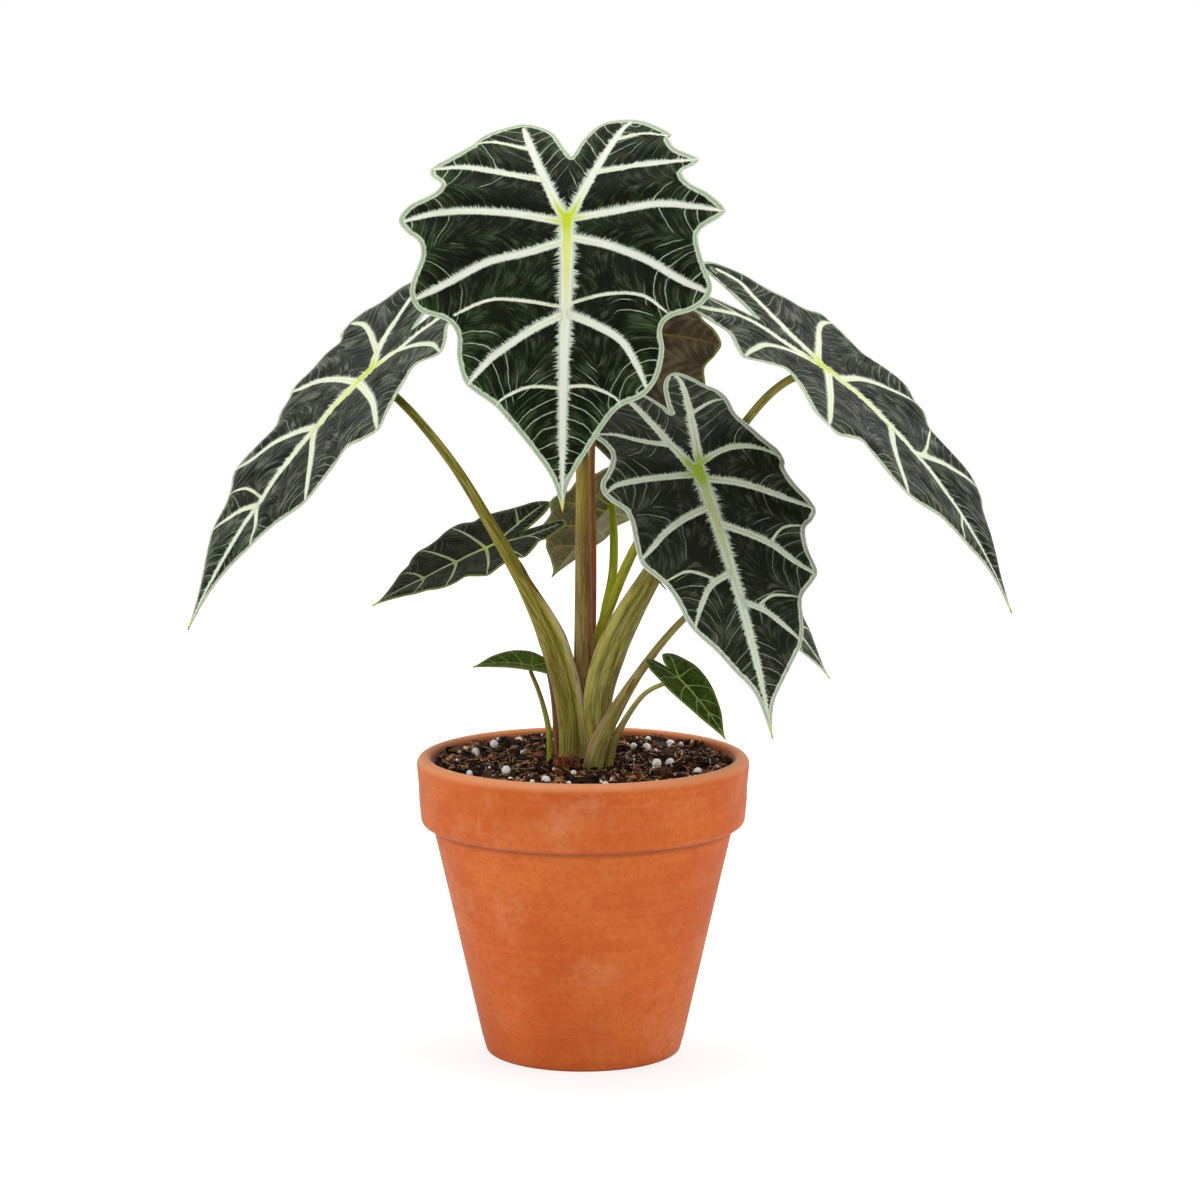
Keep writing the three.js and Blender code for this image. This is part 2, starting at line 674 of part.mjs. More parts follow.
// Perlite: pale round grains, each x, y and size as they lie on the mix.
const perlite = [
  [-39, 24, 4.6], [-53, 15, 3], [-48, 9, 4.2], [-58, -2, 3], [-33, -24, 4.8], [-50, -34, 3.8],
  [-17, -42, 4.6], [-22, -51, 3], [-47, 0, 2.6], [-5, -50, 3], [-7, -56, 2.6], [-38, 36, 2.6],
  [39, 38, 4.2], [44, 30, 3], [23, 16, 3.8], [29, 8, 4.2], [34, -25, 4.4], [39, -22, 4.6],
  [51, -40, 3.8], [33, -50, 3], [13, -52, 2.6], [10, -60, 3.4], [14, 52, 3.4], [-14, 50, 3],
  [-30, 52, 4], [52, 12, 3.4], [30, 50, 3], [-8, 36, 3.6],
];
for (const [x, y, size] of perlite) {
  const grain = new THREE.IcosahedronGeometry(size / 2, 0);
  grain.rotateZ(x + y);
  grain.translate(x, y, soilTop(x, y) + size * 0.16);
  soil = soil.add(toSolid(grain));
}

// The corm's seat, and holes for the stalks at its edge. A crumb cut loose by them is dropped.
soil = soil.subtract(toSolid(skin(cormRings(gap))));
for (const stalk of placedStalks) {
  soil = soil.subtract(stalk);
}
addPiece(group, 'potting_mix', toGeometry(largest(soil)), 0x2e1f17, 1);

export default group;
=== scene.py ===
"""Potted alocasia polly: pot, potting mix, corm, ten stalks and ten blades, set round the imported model."""
import math
import random

import bpy
import numpy as np
from mathutils import Euler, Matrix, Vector, noise


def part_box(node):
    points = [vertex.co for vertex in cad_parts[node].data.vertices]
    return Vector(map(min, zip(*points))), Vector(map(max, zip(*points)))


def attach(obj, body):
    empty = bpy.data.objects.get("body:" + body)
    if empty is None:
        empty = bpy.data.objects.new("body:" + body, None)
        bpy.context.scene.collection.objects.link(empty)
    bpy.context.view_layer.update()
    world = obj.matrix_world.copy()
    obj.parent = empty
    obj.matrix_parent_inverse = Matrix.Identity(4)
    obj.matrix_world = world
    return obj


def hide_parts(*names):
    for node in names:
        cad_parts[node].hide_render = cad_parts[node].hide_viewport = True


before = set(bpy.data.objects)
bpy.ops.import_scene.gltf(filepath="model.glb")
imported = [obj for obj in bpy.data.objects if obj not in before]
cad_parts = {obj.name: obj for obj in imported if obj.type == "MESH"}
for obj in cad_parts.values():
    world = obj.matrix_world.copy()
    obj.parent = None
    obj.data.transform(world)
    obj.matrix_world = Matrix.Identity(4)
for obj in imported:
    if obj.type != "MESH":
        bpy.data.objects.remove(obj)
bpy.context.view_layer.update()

# Terracotta pot.
# A wheel-thrown clay body with a straight taper and a heavy rolled collar, fired without a glaze.
# Foot, wall, collar and lip are one turned wall, with a drain hole through the floor. Sizes are in mm.
mm = 0.001
pot_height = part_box("terracotta_pot")[1].z / mm
rim_radius = 75.0
lip_round = 4.0
inner_lip_round = 2.5
collar_foot_radius = 73.2
collar_round = 3.2
crease_height = 104.4
crease_radius = 68.0
foot_radius = 44.5
foot_round = 2
wall_swell = 0.2
wall = 6.5
floor_thickness = 7.0
floor_round = 3
drain_radius = 10.0
drain_bevel = 0.5
taper = (crease_radius - foot_radius) / crease_height
pot_steps = 160


def arc(x, z, radius, start, end, steps):
    """Points round a corner of an outline, from one angle to another in degrees."""
    turns = np.radians(np.linspace(start, end, steps))
    return [(x + radius * math.cos(t), z + radius * math.sin(t)) for t in turns]


def inner_radius(z):
    """The radius of the pot's inner wall at a height."""
    return crease_radius - wall + (z - crease_height) * taper


def turned(name, outline, steps):
    """Draws an outline of (radius, height) in mm edge by edge and turns it once round the upright axis."""
    bpy.ops.object.select_all(action="DESELECT")
    bpy.ops.mesh.primitive_plane_add(size=mm, location=(outline[0][0] * mm, 0, outline[0][1] * mm))
    piece = bpy.context.object
    piece.name = name
    bpy.ops.object.transform_apply(location=True, rotation=True, scale=True)
    bpy.ops.object.mode_set(mode="EDIT")
    bpy.ops.mesh.merge(type="CENTER")
    for (r0, z0), (r1, z1) in zip(outline, outline[1:]):
        step = ((r1 - r0) * mm, 0, (z1 - z0) * mm)
        bpy.ops.mesh.extrude_vertices_move(TRANSFORM_OT_translate={"value": step})
    bpy.ops.mesh.select_all(action="SELECT")
    bpy.ops.mesh.spin(steps=steps, angle=2 * math.pi, center=(0, 0, 0), axis=(0, 0, 1))
    bpy.ops.mesh.select_all(action="SELECT")
    bpy.ops.mesh.remove_doubles(threshold=0.02 * mm)
    bpy.ops.mesh.normals_make_consistent(inside=False)
    bpy.ops.object.mode_set(mode="OBJECT")
    bpy.ops.object.shade_smooth_by_angle(angle=math.radians(50))
    return piece


floor_radius = inner_radius(floor_thickness)
pot_outline = [
    (drain_radius, drain_bevel),
    (drain_radius + drain_bevel, 0),
    *arc(foot_radius - foot_round - 0.2, foot_round, foot_round, -90, -13, 6),
    *[(foot_radius + wall_swell + (z - foot_round) * taper, z) for z in (8, 28, 54, 80)],
    (crease_radius - 0.8, crease_height - 3),
    (crease_radius - 0.3, crease_height - 1.2),
    (crease_radius + 0.2, crease_height - 0.3),
    (crease_radius + 1.0, crease_height + 0.15),
    *arc(collar_foot_radius - collar_round, crease_height + collar_round + 0.2, collar_round, -90, 4, 8),
    (collar_foot_radius + 0.7, crease_height + 11),
    (rim_radius - 0.9, crease_height + 18),
    *arc(rim_radius - lip_round, pot_height - lip_round, lip_round, 4, 90, 9),
    *arc(rim_radius - lip_round, pot_height - inner_lip_round, inner_lip_round, 100, 176, 6),
    (inner_radius(pot_height - 5) + 0.2, pot_height - 5),
    *[(inner_radius(z), z) for z in (90, 50, floor_thickness + 4)],
    *arc(floor_radius - floor_round, floor_thickness + floor_round, floor_round, -20, -90, 4),
    (drain_radius + 0.6, floor_thickness),
    (drain_radius, floor_thickness - 0.6),
    (drain_radius, drain_bevel),
]
pot = turned("clay_pot", pot_outline, pot_steps)


def paint(red, green, blue):
    """A colour as it looks on paper, 0 to 255, turned into the light that a shader wants."""
    channels = [c / 255 for c in (red, green, blue)]
    return [c / 12.92 if c <= 0.04045 else ((c + 0.055) / 1.055) ** 2.4 for c in channels] + [1.0]


class Recipe:
    """Writes a node tree down step by step: each call adds one node and gives back one output."""

    def __init__(self, tree):
        self.tree = tree

    def add(self, kind, inputs, output=0, **settings):
        """One node of the given kind. Inputs are numbers, colours or the outputs of earlier steps."""
        step = self.tree.nodes.new("ShaderNode" + kind)
        for key, value in settings.items():
            setattr(step, key, value)
        self.join(step, inputs)
        return step.outputs[output]

    def join(self, step, inputs):
        """Sets a node's inputs, and links those that come out of an earlier step."""
        for key, value in inputs.items():
            if isinstance(value, bpy.types.NodeSocket):
                self.tree.links.new(value, step.inputs[key])
            else:
                step.inputs[key].default_value = value

    def math(self, operation, *values, clamp=False):
        return self.add("Math", dict(enumerate(values)), operation=operation, use_clamp=clamp)

    def vector(self, operation, *values, output=0):
        return self.add("VectorMath", dict(enumerate(values)), output, operation=operation)

    def combine(self, x, y, z):
        return self.add("CombineXYZ", {0: x, 1: y, 2: z})

    def noise(self, vector, scale, detail=2.0, roughness=0.5):
        inputs = {"Vector": vector, "Scale": scale, "Detail": detail, "Roughness": roughness}
        return self.add("TexNoise", inputs)

    def spread(self, value, low, high, to_low=0.0, to_high=1.0):
        """A soft step: value low gives to_low, value high gives to_high, with a smooth turn between."""
        inputs = {0: value, 1: low, 2: high, 3: to_low, 4: to_high}
        return self.add("MapRange", inputs, interpolation_type="SMOOTHSTEP")

    def mix(self, factor, first, second, blend="MIX"):
        return self.add("Mix", {0: factor, 6: first, 7: second}, 2, data_type="RGBA", blend_type=blend)

    def ramp(self, value, stops):
        """Blends through (position, colour) stops."""
        output = self.add("ValToRGB", {0: value})
        elements = output.node.color_ramp.elements
        while len(elements) < len(stops):
            elements.new(0.5)
        for element, (position, color) in zip(elements, stops):
            element.position = position
            element.color = color
        return output

    def attribute(self, name):
        """A number that the mesh keeps at each corner."""
        return self.add("Attribute", {}, 2, attribute_name=name)

    def group(self, tree, inputs):
        """Places a shared group and gives its node, whose outputs are read by name."""
        step = self.tree.nodes.new("ShaderNodeGroup")
        step.node_tree = tree
        self.join(step, inputs)
        return step.outputs


def new_material(name, **uniform):
    """An empty material with its Principled shader, whose uniform values are set on its own sockets."""
    material = bpy.data.materials.new(name)
    material.use_nodes = True
    shader = material.node_tree.nodes["Principled BSDF"]
    for key, value in uniform.items():
        shader.inputs[key.replace("_", " ")].default_value = value
    recipe = Recipe(material.node_tree)
    return material, recipe, shader


def new_group(name, inputs, outputs):
    """A shared shader group of numbers, with inputs (name, default) and the names of its outputs."""
    tree = bpy.data.node_groups.new(name, "ShaderNodeTree")
    for label, default in inputs:
        socket = tree.interface.new_socket(label, in_out="INPUT", socket_type="NodeSocketFloat")
        socket.default_value = default
    for label in outputs:
        tree.interface.new_socket(label, in_out="OUTPUT", socket_type="NodeSocketFloat")
    entry = tree.nodes.new("NodeGroupInput").outputs
    leave = tree.nodes.new("NodeGroupOutput")
    return tree, Recipe(tree), entry, leave


clay, r, clay_shader = new_material(
    "terracotta clay", Roughness=0.84, Specular_IOR_Level=0.12, Sheen_Weight=0.22, Sheen_Roughness=0.4)
place = r.add("TexCoord", {}, 3)
split = r.add("SeparateXYZ", {0: place}).node.outputs
height = split[2]
wheel_marks = r.noise(r.vector("MULTIPLY", place, (9, 9, 700)), 1.0, 3.0, 0.6)
clouds = r.noise(place, 20.0, 5.0, 0.6)
patches = r.noise(place, 75.0, 6.0, 0.7)
mottle = r.noise(place, 520.0, 4.0, 0.7)
grit = r.noise(place, 1900.0, 2.0, 0.6)
color = r.mix(r.spread(clouds, 0.3, 0.7), paint(206, 98, 42), paint(222, 118, 56))
color = r.mix(r.spread(patches, 0.42, 0.72, 0, 0.55), color, paint(198, 90, 38))
color = r.mix(r.spread(wheel_marks, 0.45, 0.8, 0, 0.22), color, paint(236, 142, 90))
color = r.mix(r.spread(mottle, 0.46, 0.7, 0, 0.5), color, paint(190, 84, 36))
# A pale bloom where salts dried, in soft clouds, and small scuffs.
bloom_and_painted_sheen = r.spread(r.noise(place, 34.0, 7.0, 0.72), 0.5, 0.75, 0, 0.3)
color = r.mix(bloom_and_painted_sheen, color, paint(238, 172, 128))
scuffs = r.spread(r.noise(r.vector("MULTIPLY", place, (1, 1, 2.2)), 150.0, 6.0, 0.8), 0.62, 0.74, 0, 0.5)
scuffs = r.math("MULTIPLY", scuffs, r.spread(r.noise(place, 26.0, 3.0, 0.6), 0.46, 0.6))
color = r.mix(scuffs, color, paint(236, 176, 138))
# Specks of grog.
cells = r.add("TexVoronoi", {"Vector": place, "Scale": 420.0}, 0)
chosen = r.add("SeparateColor", {0: cells.node.outputs[1]})
dark_speck = r.math("MULTIPLY", r.spread(cells, 0.16, 0.08), r.spread(chosen, 0.84, 0.86))
color = r.mix(r.math("MULTIPLY", dark_speck, 0.75), color, paint(104, 52, 32))
# The lip has dust and a painted sheen, and painted shade lies on the inner wall, in the crease and at the
# foot.
# Dust and a painted sheen: the top of the lip is painted lighter.
lip_dust_and_painted_sheen = r.spread(height, (pot_height - 4.3) * mm, (pot_height - 0.8) * mm, 0, 0.7)
color = r.mix(lip_dust_and_painted_sheen, color, paint(244, 168, 116))
# Painted shade: the inner wall below the lip is painted darker.
around = r.vector("LENGTH", r.combine(split[0], split[1], 0), output=1)
inner = r.math("ADD", r.math("MULTIPLY", height, taper), inner_radius(0) * mm)
inside = r.math("SUBTRACT", r.math("ADD", inner, 0.0015), around)
below_lip = r.spread(height, (pot_height + 0.2) * mm, (pot_height - 3.3) * mm)
inside = r.math("MULTIPLY", r.spread(inside, 0.0, 0.0008), below_lip)
color = r.mix(r.math("MULTIPLY", inside, 0.55), color, paint(150, 76, 42))
# Painted shade in the crease under the collar.
from_below = r.spread(height, (crease_height - 3.9) * mm, (crease_height - 0.8) * mm)
from_above = r.spread(height, (crease_height + 1.8) * mm, (crease_height + 0.2) * mm)
crease = r.math("MULTIPLY", from_below, from_above)
color = r.mix(r.math("MULTIPLY", crease, 0.4), color, paint(120, 58, 34))
# Painted shade at the foot, where the pot stands on the floor.
color = r.mix(r.spread(height, 0.0016, 0.0, 0, 0.5), color, paint(120, 60, 36))
relief = r.math("ADD", r.math("MULTIPLY", wheel_marks, 0.6), r.math("MULTIPLY", grit, 0.25))
relief = r.math("ADD", relief, r.math("MULTIPLY", mottle, 0.7))
relief = r.math("SUBTRACT", relief, r.math("MULTIPLY", dark_speck, 0.4))
relief = r.math("ADD", relief, r.math("MULTIPLY", scuffs, 0.5))
bump = r.add("Bump", {"Strength": 0.55, "Distance": 0.0004, "Height": relief})
r.join(clay_shader, {"Base Color": color, "Normal": bump})
pot.data.materials.append(clay)
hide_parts("terracotta_pot")
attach(pot, "root")

# Potting mix.
# Composted bark crumbs and fibre with expanded perlite, filling the pot to just under the lip.
# The bed is one plug with an uneven top, and the loose bark, crumbs, fibres and grains lie on it.
soil_height = 131.8
soil_gap = 0.3
soil_side_gap = 0.35
soil_rings = 34
soil_steps = 150


def soil_top(x, y):
    """The height of the bed in mm, with its low swells."""
    swell = 1.1 * math.sin(x * 0.13 + 0.6) * math.cos(y * 0.15) + 0.7 * math.sin(x * 0.31 + y * 0.27)
    return soil_height + swell


soil_rim = inner_radius(soil_height) - soil_side_gap
soil_outline = [
    (0, floor_thickness + soil_gap),
    (floor_radius - floor_round, floor_thickness + soil_gap),
    (inner_radius(floor_thickness + 4.5) - 0.5, floor_thickness + 4.5),
    (inner_radius(soil_height - 4) - 0.4, soil_height - 4),
    *[(soil_rim * (1 - i / soil_rings), soil_height) for i in range(soil_rings + 1)],
]
soil = turned("potting_bed", soil_outline, soil_steps)
for vertex in soil.data.vertices:
    x, y, z = vertex.co / mm
    if z > soil_height - 1:
        lumps = noise.fractal(Vector((x, y, 3)) * 0.16, 0.9, 2.1, 5) * 1.5
        vertex.co.z = (soil_top(x, y) - 0.5 + lumps) * mm


def random_turn(chance):
    """Any way up."""
    return Euler([chance.uniform(0, 2 * math.pi) for _ in range(3)]).to_matrix()


def lying(chance, roll, pitch):
    """Nearly flat, and turned any way round the upright axis."""
    return Euler((chance.gauss(0, roll), chance.gauss(0, pitch), chance.uniform(0, 6.28))).to_matrix()


def rough_shape(seed, cuts, spread, base="cube"):
    """A lump broken up by uneven subdivision of a primitive, or with no cuts only knocked about."""
    bpy.ops.object.select_all(action="DESELECT")
    if base == "cube":
        bpy.ops.mesh.primitive_cube_add(size=1)
    else:
        bpy.ops.mesh.primitive_ico_sphere_add(subdivisions=1, radius=0.5)
    lump = bpy.context.object
    bpy.ops.object.mode_set(mode="EDIT")
    bpy.ops.mesh.select_all(action="SELECT")
    if cuts:
        bpy.ops.mesh.subdivide(number_cuts=cuts, smoothness=0.6, fractal=spread, seed=seed)
    else:
        bpy.ops.transform.vertex_random(offset=spread * 0.4, uniform=0, normal=0, seed=seed)
    bpy.ops.mesh.quads_convert_to_tris()
    bpy.ops.object.mode_set(mode="OBJECT")
    corners = np.array([v.co for v in lump.data.vertices])
    faces = [tuple(f.vertices) for f in lump.data.polygons]
    bpy.data.objects.remove(lump)
    return corners, faces


def new_piece(name, corners, faces, smooth=True):
    """An object from blocks of corners in mm and their faces."""
    mesh = bpy.data.meshes.new(name)
    mesh.from_pydata((np.vstack(corners) * mm).tolist(), [], faces)
    mesh.polygons.foreach_set("use_smooth", [smooth] * len(faces))
    piece = bpy.data.objects.new(name, mesh)
    bpy.context.collection.objects.link(piece)
    return piece


def keep(piece, name, values):
    """Stores a number at every corner of a piece, where a material can read it."""
    piece.data.attributes.new(name, "FLOAT", "POINT").data.foreach_set("value", values)


def scatter(name, shapes, spots, smooth):
    """Joins copies of a few shapes. Each spot is (shape, place, turn, size, tone)."""
    corners = []
    faces = []
    tones = []
    start = 0
    for shape, where, turn, size, tone in spots:
        points, polygons = shapes[shape]
        corners.append((points * np.array(size)) @ np.array(turn).T + np.array(where))
        faces.extend(tuple(i + start for i in polygon) for polygon in polygons)
        tones.extend([tone] * len(points))
        start += len(points)
    piece = new_piece(name, corners, faces, smooth)
    keep(piece, "tone", tones)
    return piece


chance = random.Random(41)
bark_shapes = [rough_shape(seed, 1, 1.6) for seed in range(8)]
crumb_shapes = [rough_shape(seed, 0, 0.5, "ball") for seed in range(20, 25)]
grain_shapes = [rough_shape(seed, 3, 0.35, "ball") for seed in range(40, 46)]
bark_count = 1500
crumb_count = 4200
fibre_count = 420
small_grain_count = 100


def on_soil(chance, reach):
    """A place on the bed, within reach of the pot's axis."""
    radius = reach * math.sqrt(chance.random())
    turn = chance.uniform(0, 2 * math.pi)
    return radius * math.cos(turn), radius * math.sin(turn)


# Grains of perlite as they lie in the photograph (x, y, size), and small ones strewn between them.
listed_grains = [
    (-41, 33, 4.8), (-54, 24, 3.2), (-49, 20, 4.4), (-59, 8, 3), (-42, 43, 2.4), (-34, -29, 5),
    (-50, -36, 3.8), (-32, -48, 2.2), (-16, -50, 4.8), (-22, -57, 3), (-46, -2, 1.8), (-29, -12, 1.8),
    (-13, -26, 1.8), (-4, -34, 3), (-6, -59, 2.6), (-59, -27, 1.7), (40, 44, 4.4), (45, 40, 2.8),
    (50, 40, 1.7), (23, 29, 3.9), (29, 22, 4.4), (33, 19, 2), (33, -14, 4.7), (39, -11, 4.8),
    (51, -31, 3.9), (33, -46, 3), (13, -48, 2.5), (10, -57, 3.5), (15, -27, 1.8), (21, -27, 1.5),
    (14, 52, 3.4), (-14, 50, 3), (-30, 52, 4), (30, 55, 3), (-8, 36, 3.6),
]


def clear_of_grains(x, y, size):
    """Whether a crumb of this size stays off the listed grains."""
    return all(math.hypot(x - gx, y - gy) > (grain + size) * 0.5 for gx, gy, grain in listed_grains)


spots = []
for _ in range(bark_count):
    x, y = on_soil(chance, soil_rim - 2.0)
    size = 1.0 + 3.0 * chance.random() ** 2.4
    flat = (size * chance.uniform(1.0, 2.0), size, size * chance.uniform(0.35, 0.8))
    lie = lying(chance, 0.4, 0.4)
    z = soil_top(x, y) + size * chance.uniform(-0.1, 0.3)
    if clear_of_grains(x, y, size):
        spots.append((chance.randrange(len(bark_shapes)), (x, y, z), lie, flat, chance.random()))
bark = scatter("bark_chunks", bark_shapes, spots, False)

spots = []
for _ in range(crumb_count):
    x, y = on_soil(chance, soil_rim - 0.6)
    size = 0.45 + 1.3 * chance.random() ** 1.6
    z = soil_top(x, y) + chance.uniform(0.0, 1.5)
    if clear_of_grains(x, y, size):
        shape = chance.randrange(len(crumb_shapes))
        lie = random_turn(chance)
        spots.append((shape, (x, y, z), lie, (size * 1.3, size, size), chance.random()))
crumbs = scatter("peat_crumbs", crumb_shapes, spots, False)

# Shreds of coir and bark fibre lie loose on top. A tone past 1 is the lightest bark.
spots = []
for _ in range(fibre_count):
    x, y = on_soil(chance, soil_rim - 2.5)
    length = chance.uniform(2.0, 6.5)
    lie = lying(chance, 0.2, 0.35)
    shape = chance.randrange(len(bark_shapes))
    z = soil_top(x, y) + chance.uniform(0.9, 2.0)
    spots.append((shape, (x, y, z), lie, (length, 0.45, 0.3), 1.2))
fibres = scatter("loose_fibres", bark_shapes, spots, True)

spots = []
for x, y, size in listed_grains:
    squash = (size, size * chance.uniform(0.8, 1), size * chance.uniform(0.75, 0.95))
    z = soil_top(x, y) + size * 0.3 + 0.4
    spots.append((chance.randrange(len(grain_shapes)), (x, y, z), random_turn(chance), squash, 0))
for _ in range(small_grain_count):
    x, y = on_soil(chance, soil_rim - 2)
    size = 0.7 + 1.6 * chance.random() ** 2
    z = soil_top(x, y) + chance.uniform(0.9, 1.6)
    spots.append((chance.randrange(len(grain_shapes)), (x, y, z), random_turn(chance), (size,) * 3, 1))
perlite = scatter("perlite_grains", grain_shapes, spots, True)

mix_material, r, mix_shader = new_material("bark mix", Specular_IOR_Level=0.12)
place = r.add("TexCoord", {}, 3)
tone = r.attribute("tone")
fine = r.noise(place, 900.0, 4.0, 0.7)
fibre = r.noise(r.vector("MULTIPLY", place, (300, 1600, 300)), 1.0, 4.0, 0.7)
stops = [
    (0.0, paint(12, 6, 2)), (0.4, paint(34, 19, 9)), (0.68, paint(64, 37, 18)), (0.87, paint(124, 74, 38)),
    (1.0, paint(214, 154, 100))]
color = r.ramp(tone, stops)
color = r.mix(r.spread(fine, 0.42, 0.62, 0, 0.75), color, paint(22, 12, 6))
color = r.mix(r.spread(fibre, 0.62, 0.76, 0, 0.7), color, paint(186, 122, 76))
relief = r.math("ADD", fine, r.math("MULTIPLY", fibre, 0.6))
bump = r.add("Bump", {"Strength": 0.8, "Distance": 0.0005, "Height": relief})
gloss = r.spread(fine, 0.3, 0.7, 0.42, 0.75)
r.join(mix_shader, {"Base Color": color, "Normal": bump, "Roughness": gloss})

white_grain, r, grain_shader = new_material("expanded perlite", Roughness=0.9, Specular_IOR_Level=0.25)
place = r.add("TexCoord", {}, 3)
pits = r.add("TexVoronoi", {"Vector": place, "Scale": 1300.0}, 0)
dust = r.noise(place, 500.0, 4.0, 0.65)
color = r.mix(r.spread(dust, 0.5, 0.72, 0, 0.75), paint(255, 253, 247), paint(236, 224, 206))
color = r.mix(r.spread(pits, 0.25, 0.1, 0, 0.4), color, paint(168, 150, 128))
bump = r.add("Bump", {"Strength": 0.9, "Distance": 0.0004, "Height": pits})
r.join(grain_shader, {"Base Color": color, "Normal": bump})

for piece in (soil, bark, crumbs, fibres):
    piece.data.materials.append(mix_material)
perlite.data.materials.append(white_grain)
for piece in (soil, bark, crumbs, fibres, perlite):
    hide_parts("potting_mix")
    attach(piece, "root")

# Corm.
# The short woody stem that the stalks grow from, wrapped in the dry brown bases of old leaves.
# A squat lumpy knob stands just clear of the mix, with papery scales curling off it.
corm_centre = (-1.0, 1.0)
corm_shoulder = (17.7, 131.6)
corm_top = 134.8
crown_rise = 2.2
crown_rings = 14
corm_outline = [(0, 110), (9, 110), (16.5, 115), (18.5, 127), corm_shoulder]
for i in range(1, crown_rings + 1):
    share = i / crown_rings
    crown_height = corm_shoulder[1] + crown_rise * math.sin(share * math.pi / 2)
    corm_outline.append((corm_shoulder[0] * (1 - share), crown_height))
corm = turned("corm_knob", corm_outline, 90)
for vertex in corm.data.vertices:
    x, y, z = vertex.co / mm
    turn = math.atan2(y, x)
    lump = 0.9 * math.sin(3 * turn + 1) + 0.6 * math.sin(5 * turn + z * 0.1)
    lump += noise.fractal(Vector((x, y, z * 2)) * 0.25, 0.9, 2.1, 4) * 0.9
    grow = 1 + lump / 20
    z = min(z + lump * 0.5, corm_top)
    vertex.co = Vector((x * grow + corm_centre[0], y * grow + corm_centre[1], z)) * mm

husk, r, husk_shader = new_material("dry leaf base", Roughness=0.7, Specular_IOR_Level=0.3)
place = r.add("TexCoord", {}, 3)
grain = r.noise(r.vector("MULTIPLY", place, (900, 900, 90)), 1.0, 4.0, 0.65)
patch = r.noise(place, 120.0, 4.0, 0.6)
color = r.mix(r.spread(patch, 0.35, 0.65), paint(60, 32, 16), paint(158, 84, 34))
color = r.mix(r.spread(grain, 0.5, 0.75, 0, 0.6), color, paint(206, 132, 70))
bump = r.add("Bump", {"Strength": 0.8, "Distance": 0.0005, "Height": grain})
r.join(husk_shader, {"Base Color": color, "Normal": bump})
corm.data.materials.append(husk)

# A crumpled scale is left at the foot of the front stalks. The sheaths end in dry tips (from, to, width).
chance = random.Random(19)
scale_pieces = 26
scale_thickness = 0.5
dry_tips = [
    ((-27.6, -4.5, 223.5), (-21.8, -4.5, 212.5), 1.7),
    ((32.3, -9.5, 217.8), (36.4, -9.5, 213.0), 1.8),
    ((22.5, -12.5, 172.0), (19.8, -12.5, 167.0), 1.5),
    ((3.6, 15.0, 231.5), (5.2, 15.0, 228.0), 1.2),
]
spots = []
for _ in range(scale_pieces):
    x, y = chance.uniform(-12.5, -2.5), chance.uniform(-22.0, -17.5)
    size = (chance.uniform(3.0, 5.5), chance.uniform(2.0, 3.6), scale_thickness)
    shape = chance.randrange(len(bark_shapes))
    spots.append((shape, (x, y, chance.uniform(133.0, 137.5)), random_turn(chance), size, 0))
for start, end, width in dry_tips:
    start, end = Vector(start), Vector(end)
    lie = (end - start).to_track_quat("X", "Y").to_matrix()
    spots.append((3, (start + end) / 2, lie, ((end - start).length, scale_thickness, width), 0))
scales = scatter("papery_scales", bark_shapes, spots, False)
scales.data.materials.append(husk)
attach(scales, "root")
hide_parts("corm")
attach(corm, "root")


# Leaf stalks.
# Fleshy satin stalks with fine lengthwise stripes. Each widens low down into a sheath whose thin wing
# clasps the next younger stalk, and it turns up at its top to join the underside of its blade.
def smooth_line(points, steps, even=False):
    """Points on a smooth line through the given ones. An even line doesn't swing out between near points."""
    points = np.asarray(points, float)
    padded = np.vstack([2 * points[0] - points[1], points, 2 * points[-1] - points[-2]])
    s = (np.arange(steps) / steps)[:, None]
    line = []
    for p0, p1, p2, p3 in zip(padded, padded[1:], padded[2:], padded[3:]):
        d0, d1, d2 = 1.0, 1.0, 1.0
        if even:
            d0, d1, d2 = (np.sum((b - a) ** 2) ** 0.25 for a, b in ((p0, p1), (p1, p2), (p2, p3)))
        leave = ((p1 - p0) / d0 - (p2 - p0) / (d0 + d1) + (p2 - p1) / d1) * d1
        arrive = ((p2 - p1) / d1 - (p3 - p1) / (d1 + d2) + (p3 - p2) / d2) * d1
        bend = 2 * s ** 3 - 3 * s ** 2
        leave = (s ** 3 - 2 * s ** 2 + s) * leave
        arrive = (s ** 3 - s ** 2) * arrive
        line.append((1 + bend) * p1 - bend * p2 + leave + arrive)
    return np.vstack(line + [points[-1:]])


def soft_step(value, low, high):
    """0 up to low, 1 from high on, with a smooth turn between. Low may be the larger one."""
    share = np.clip((np.asarray(value, float) - low) / (high - low), 0, 1)
    return share * share * (3 - 2 * share)


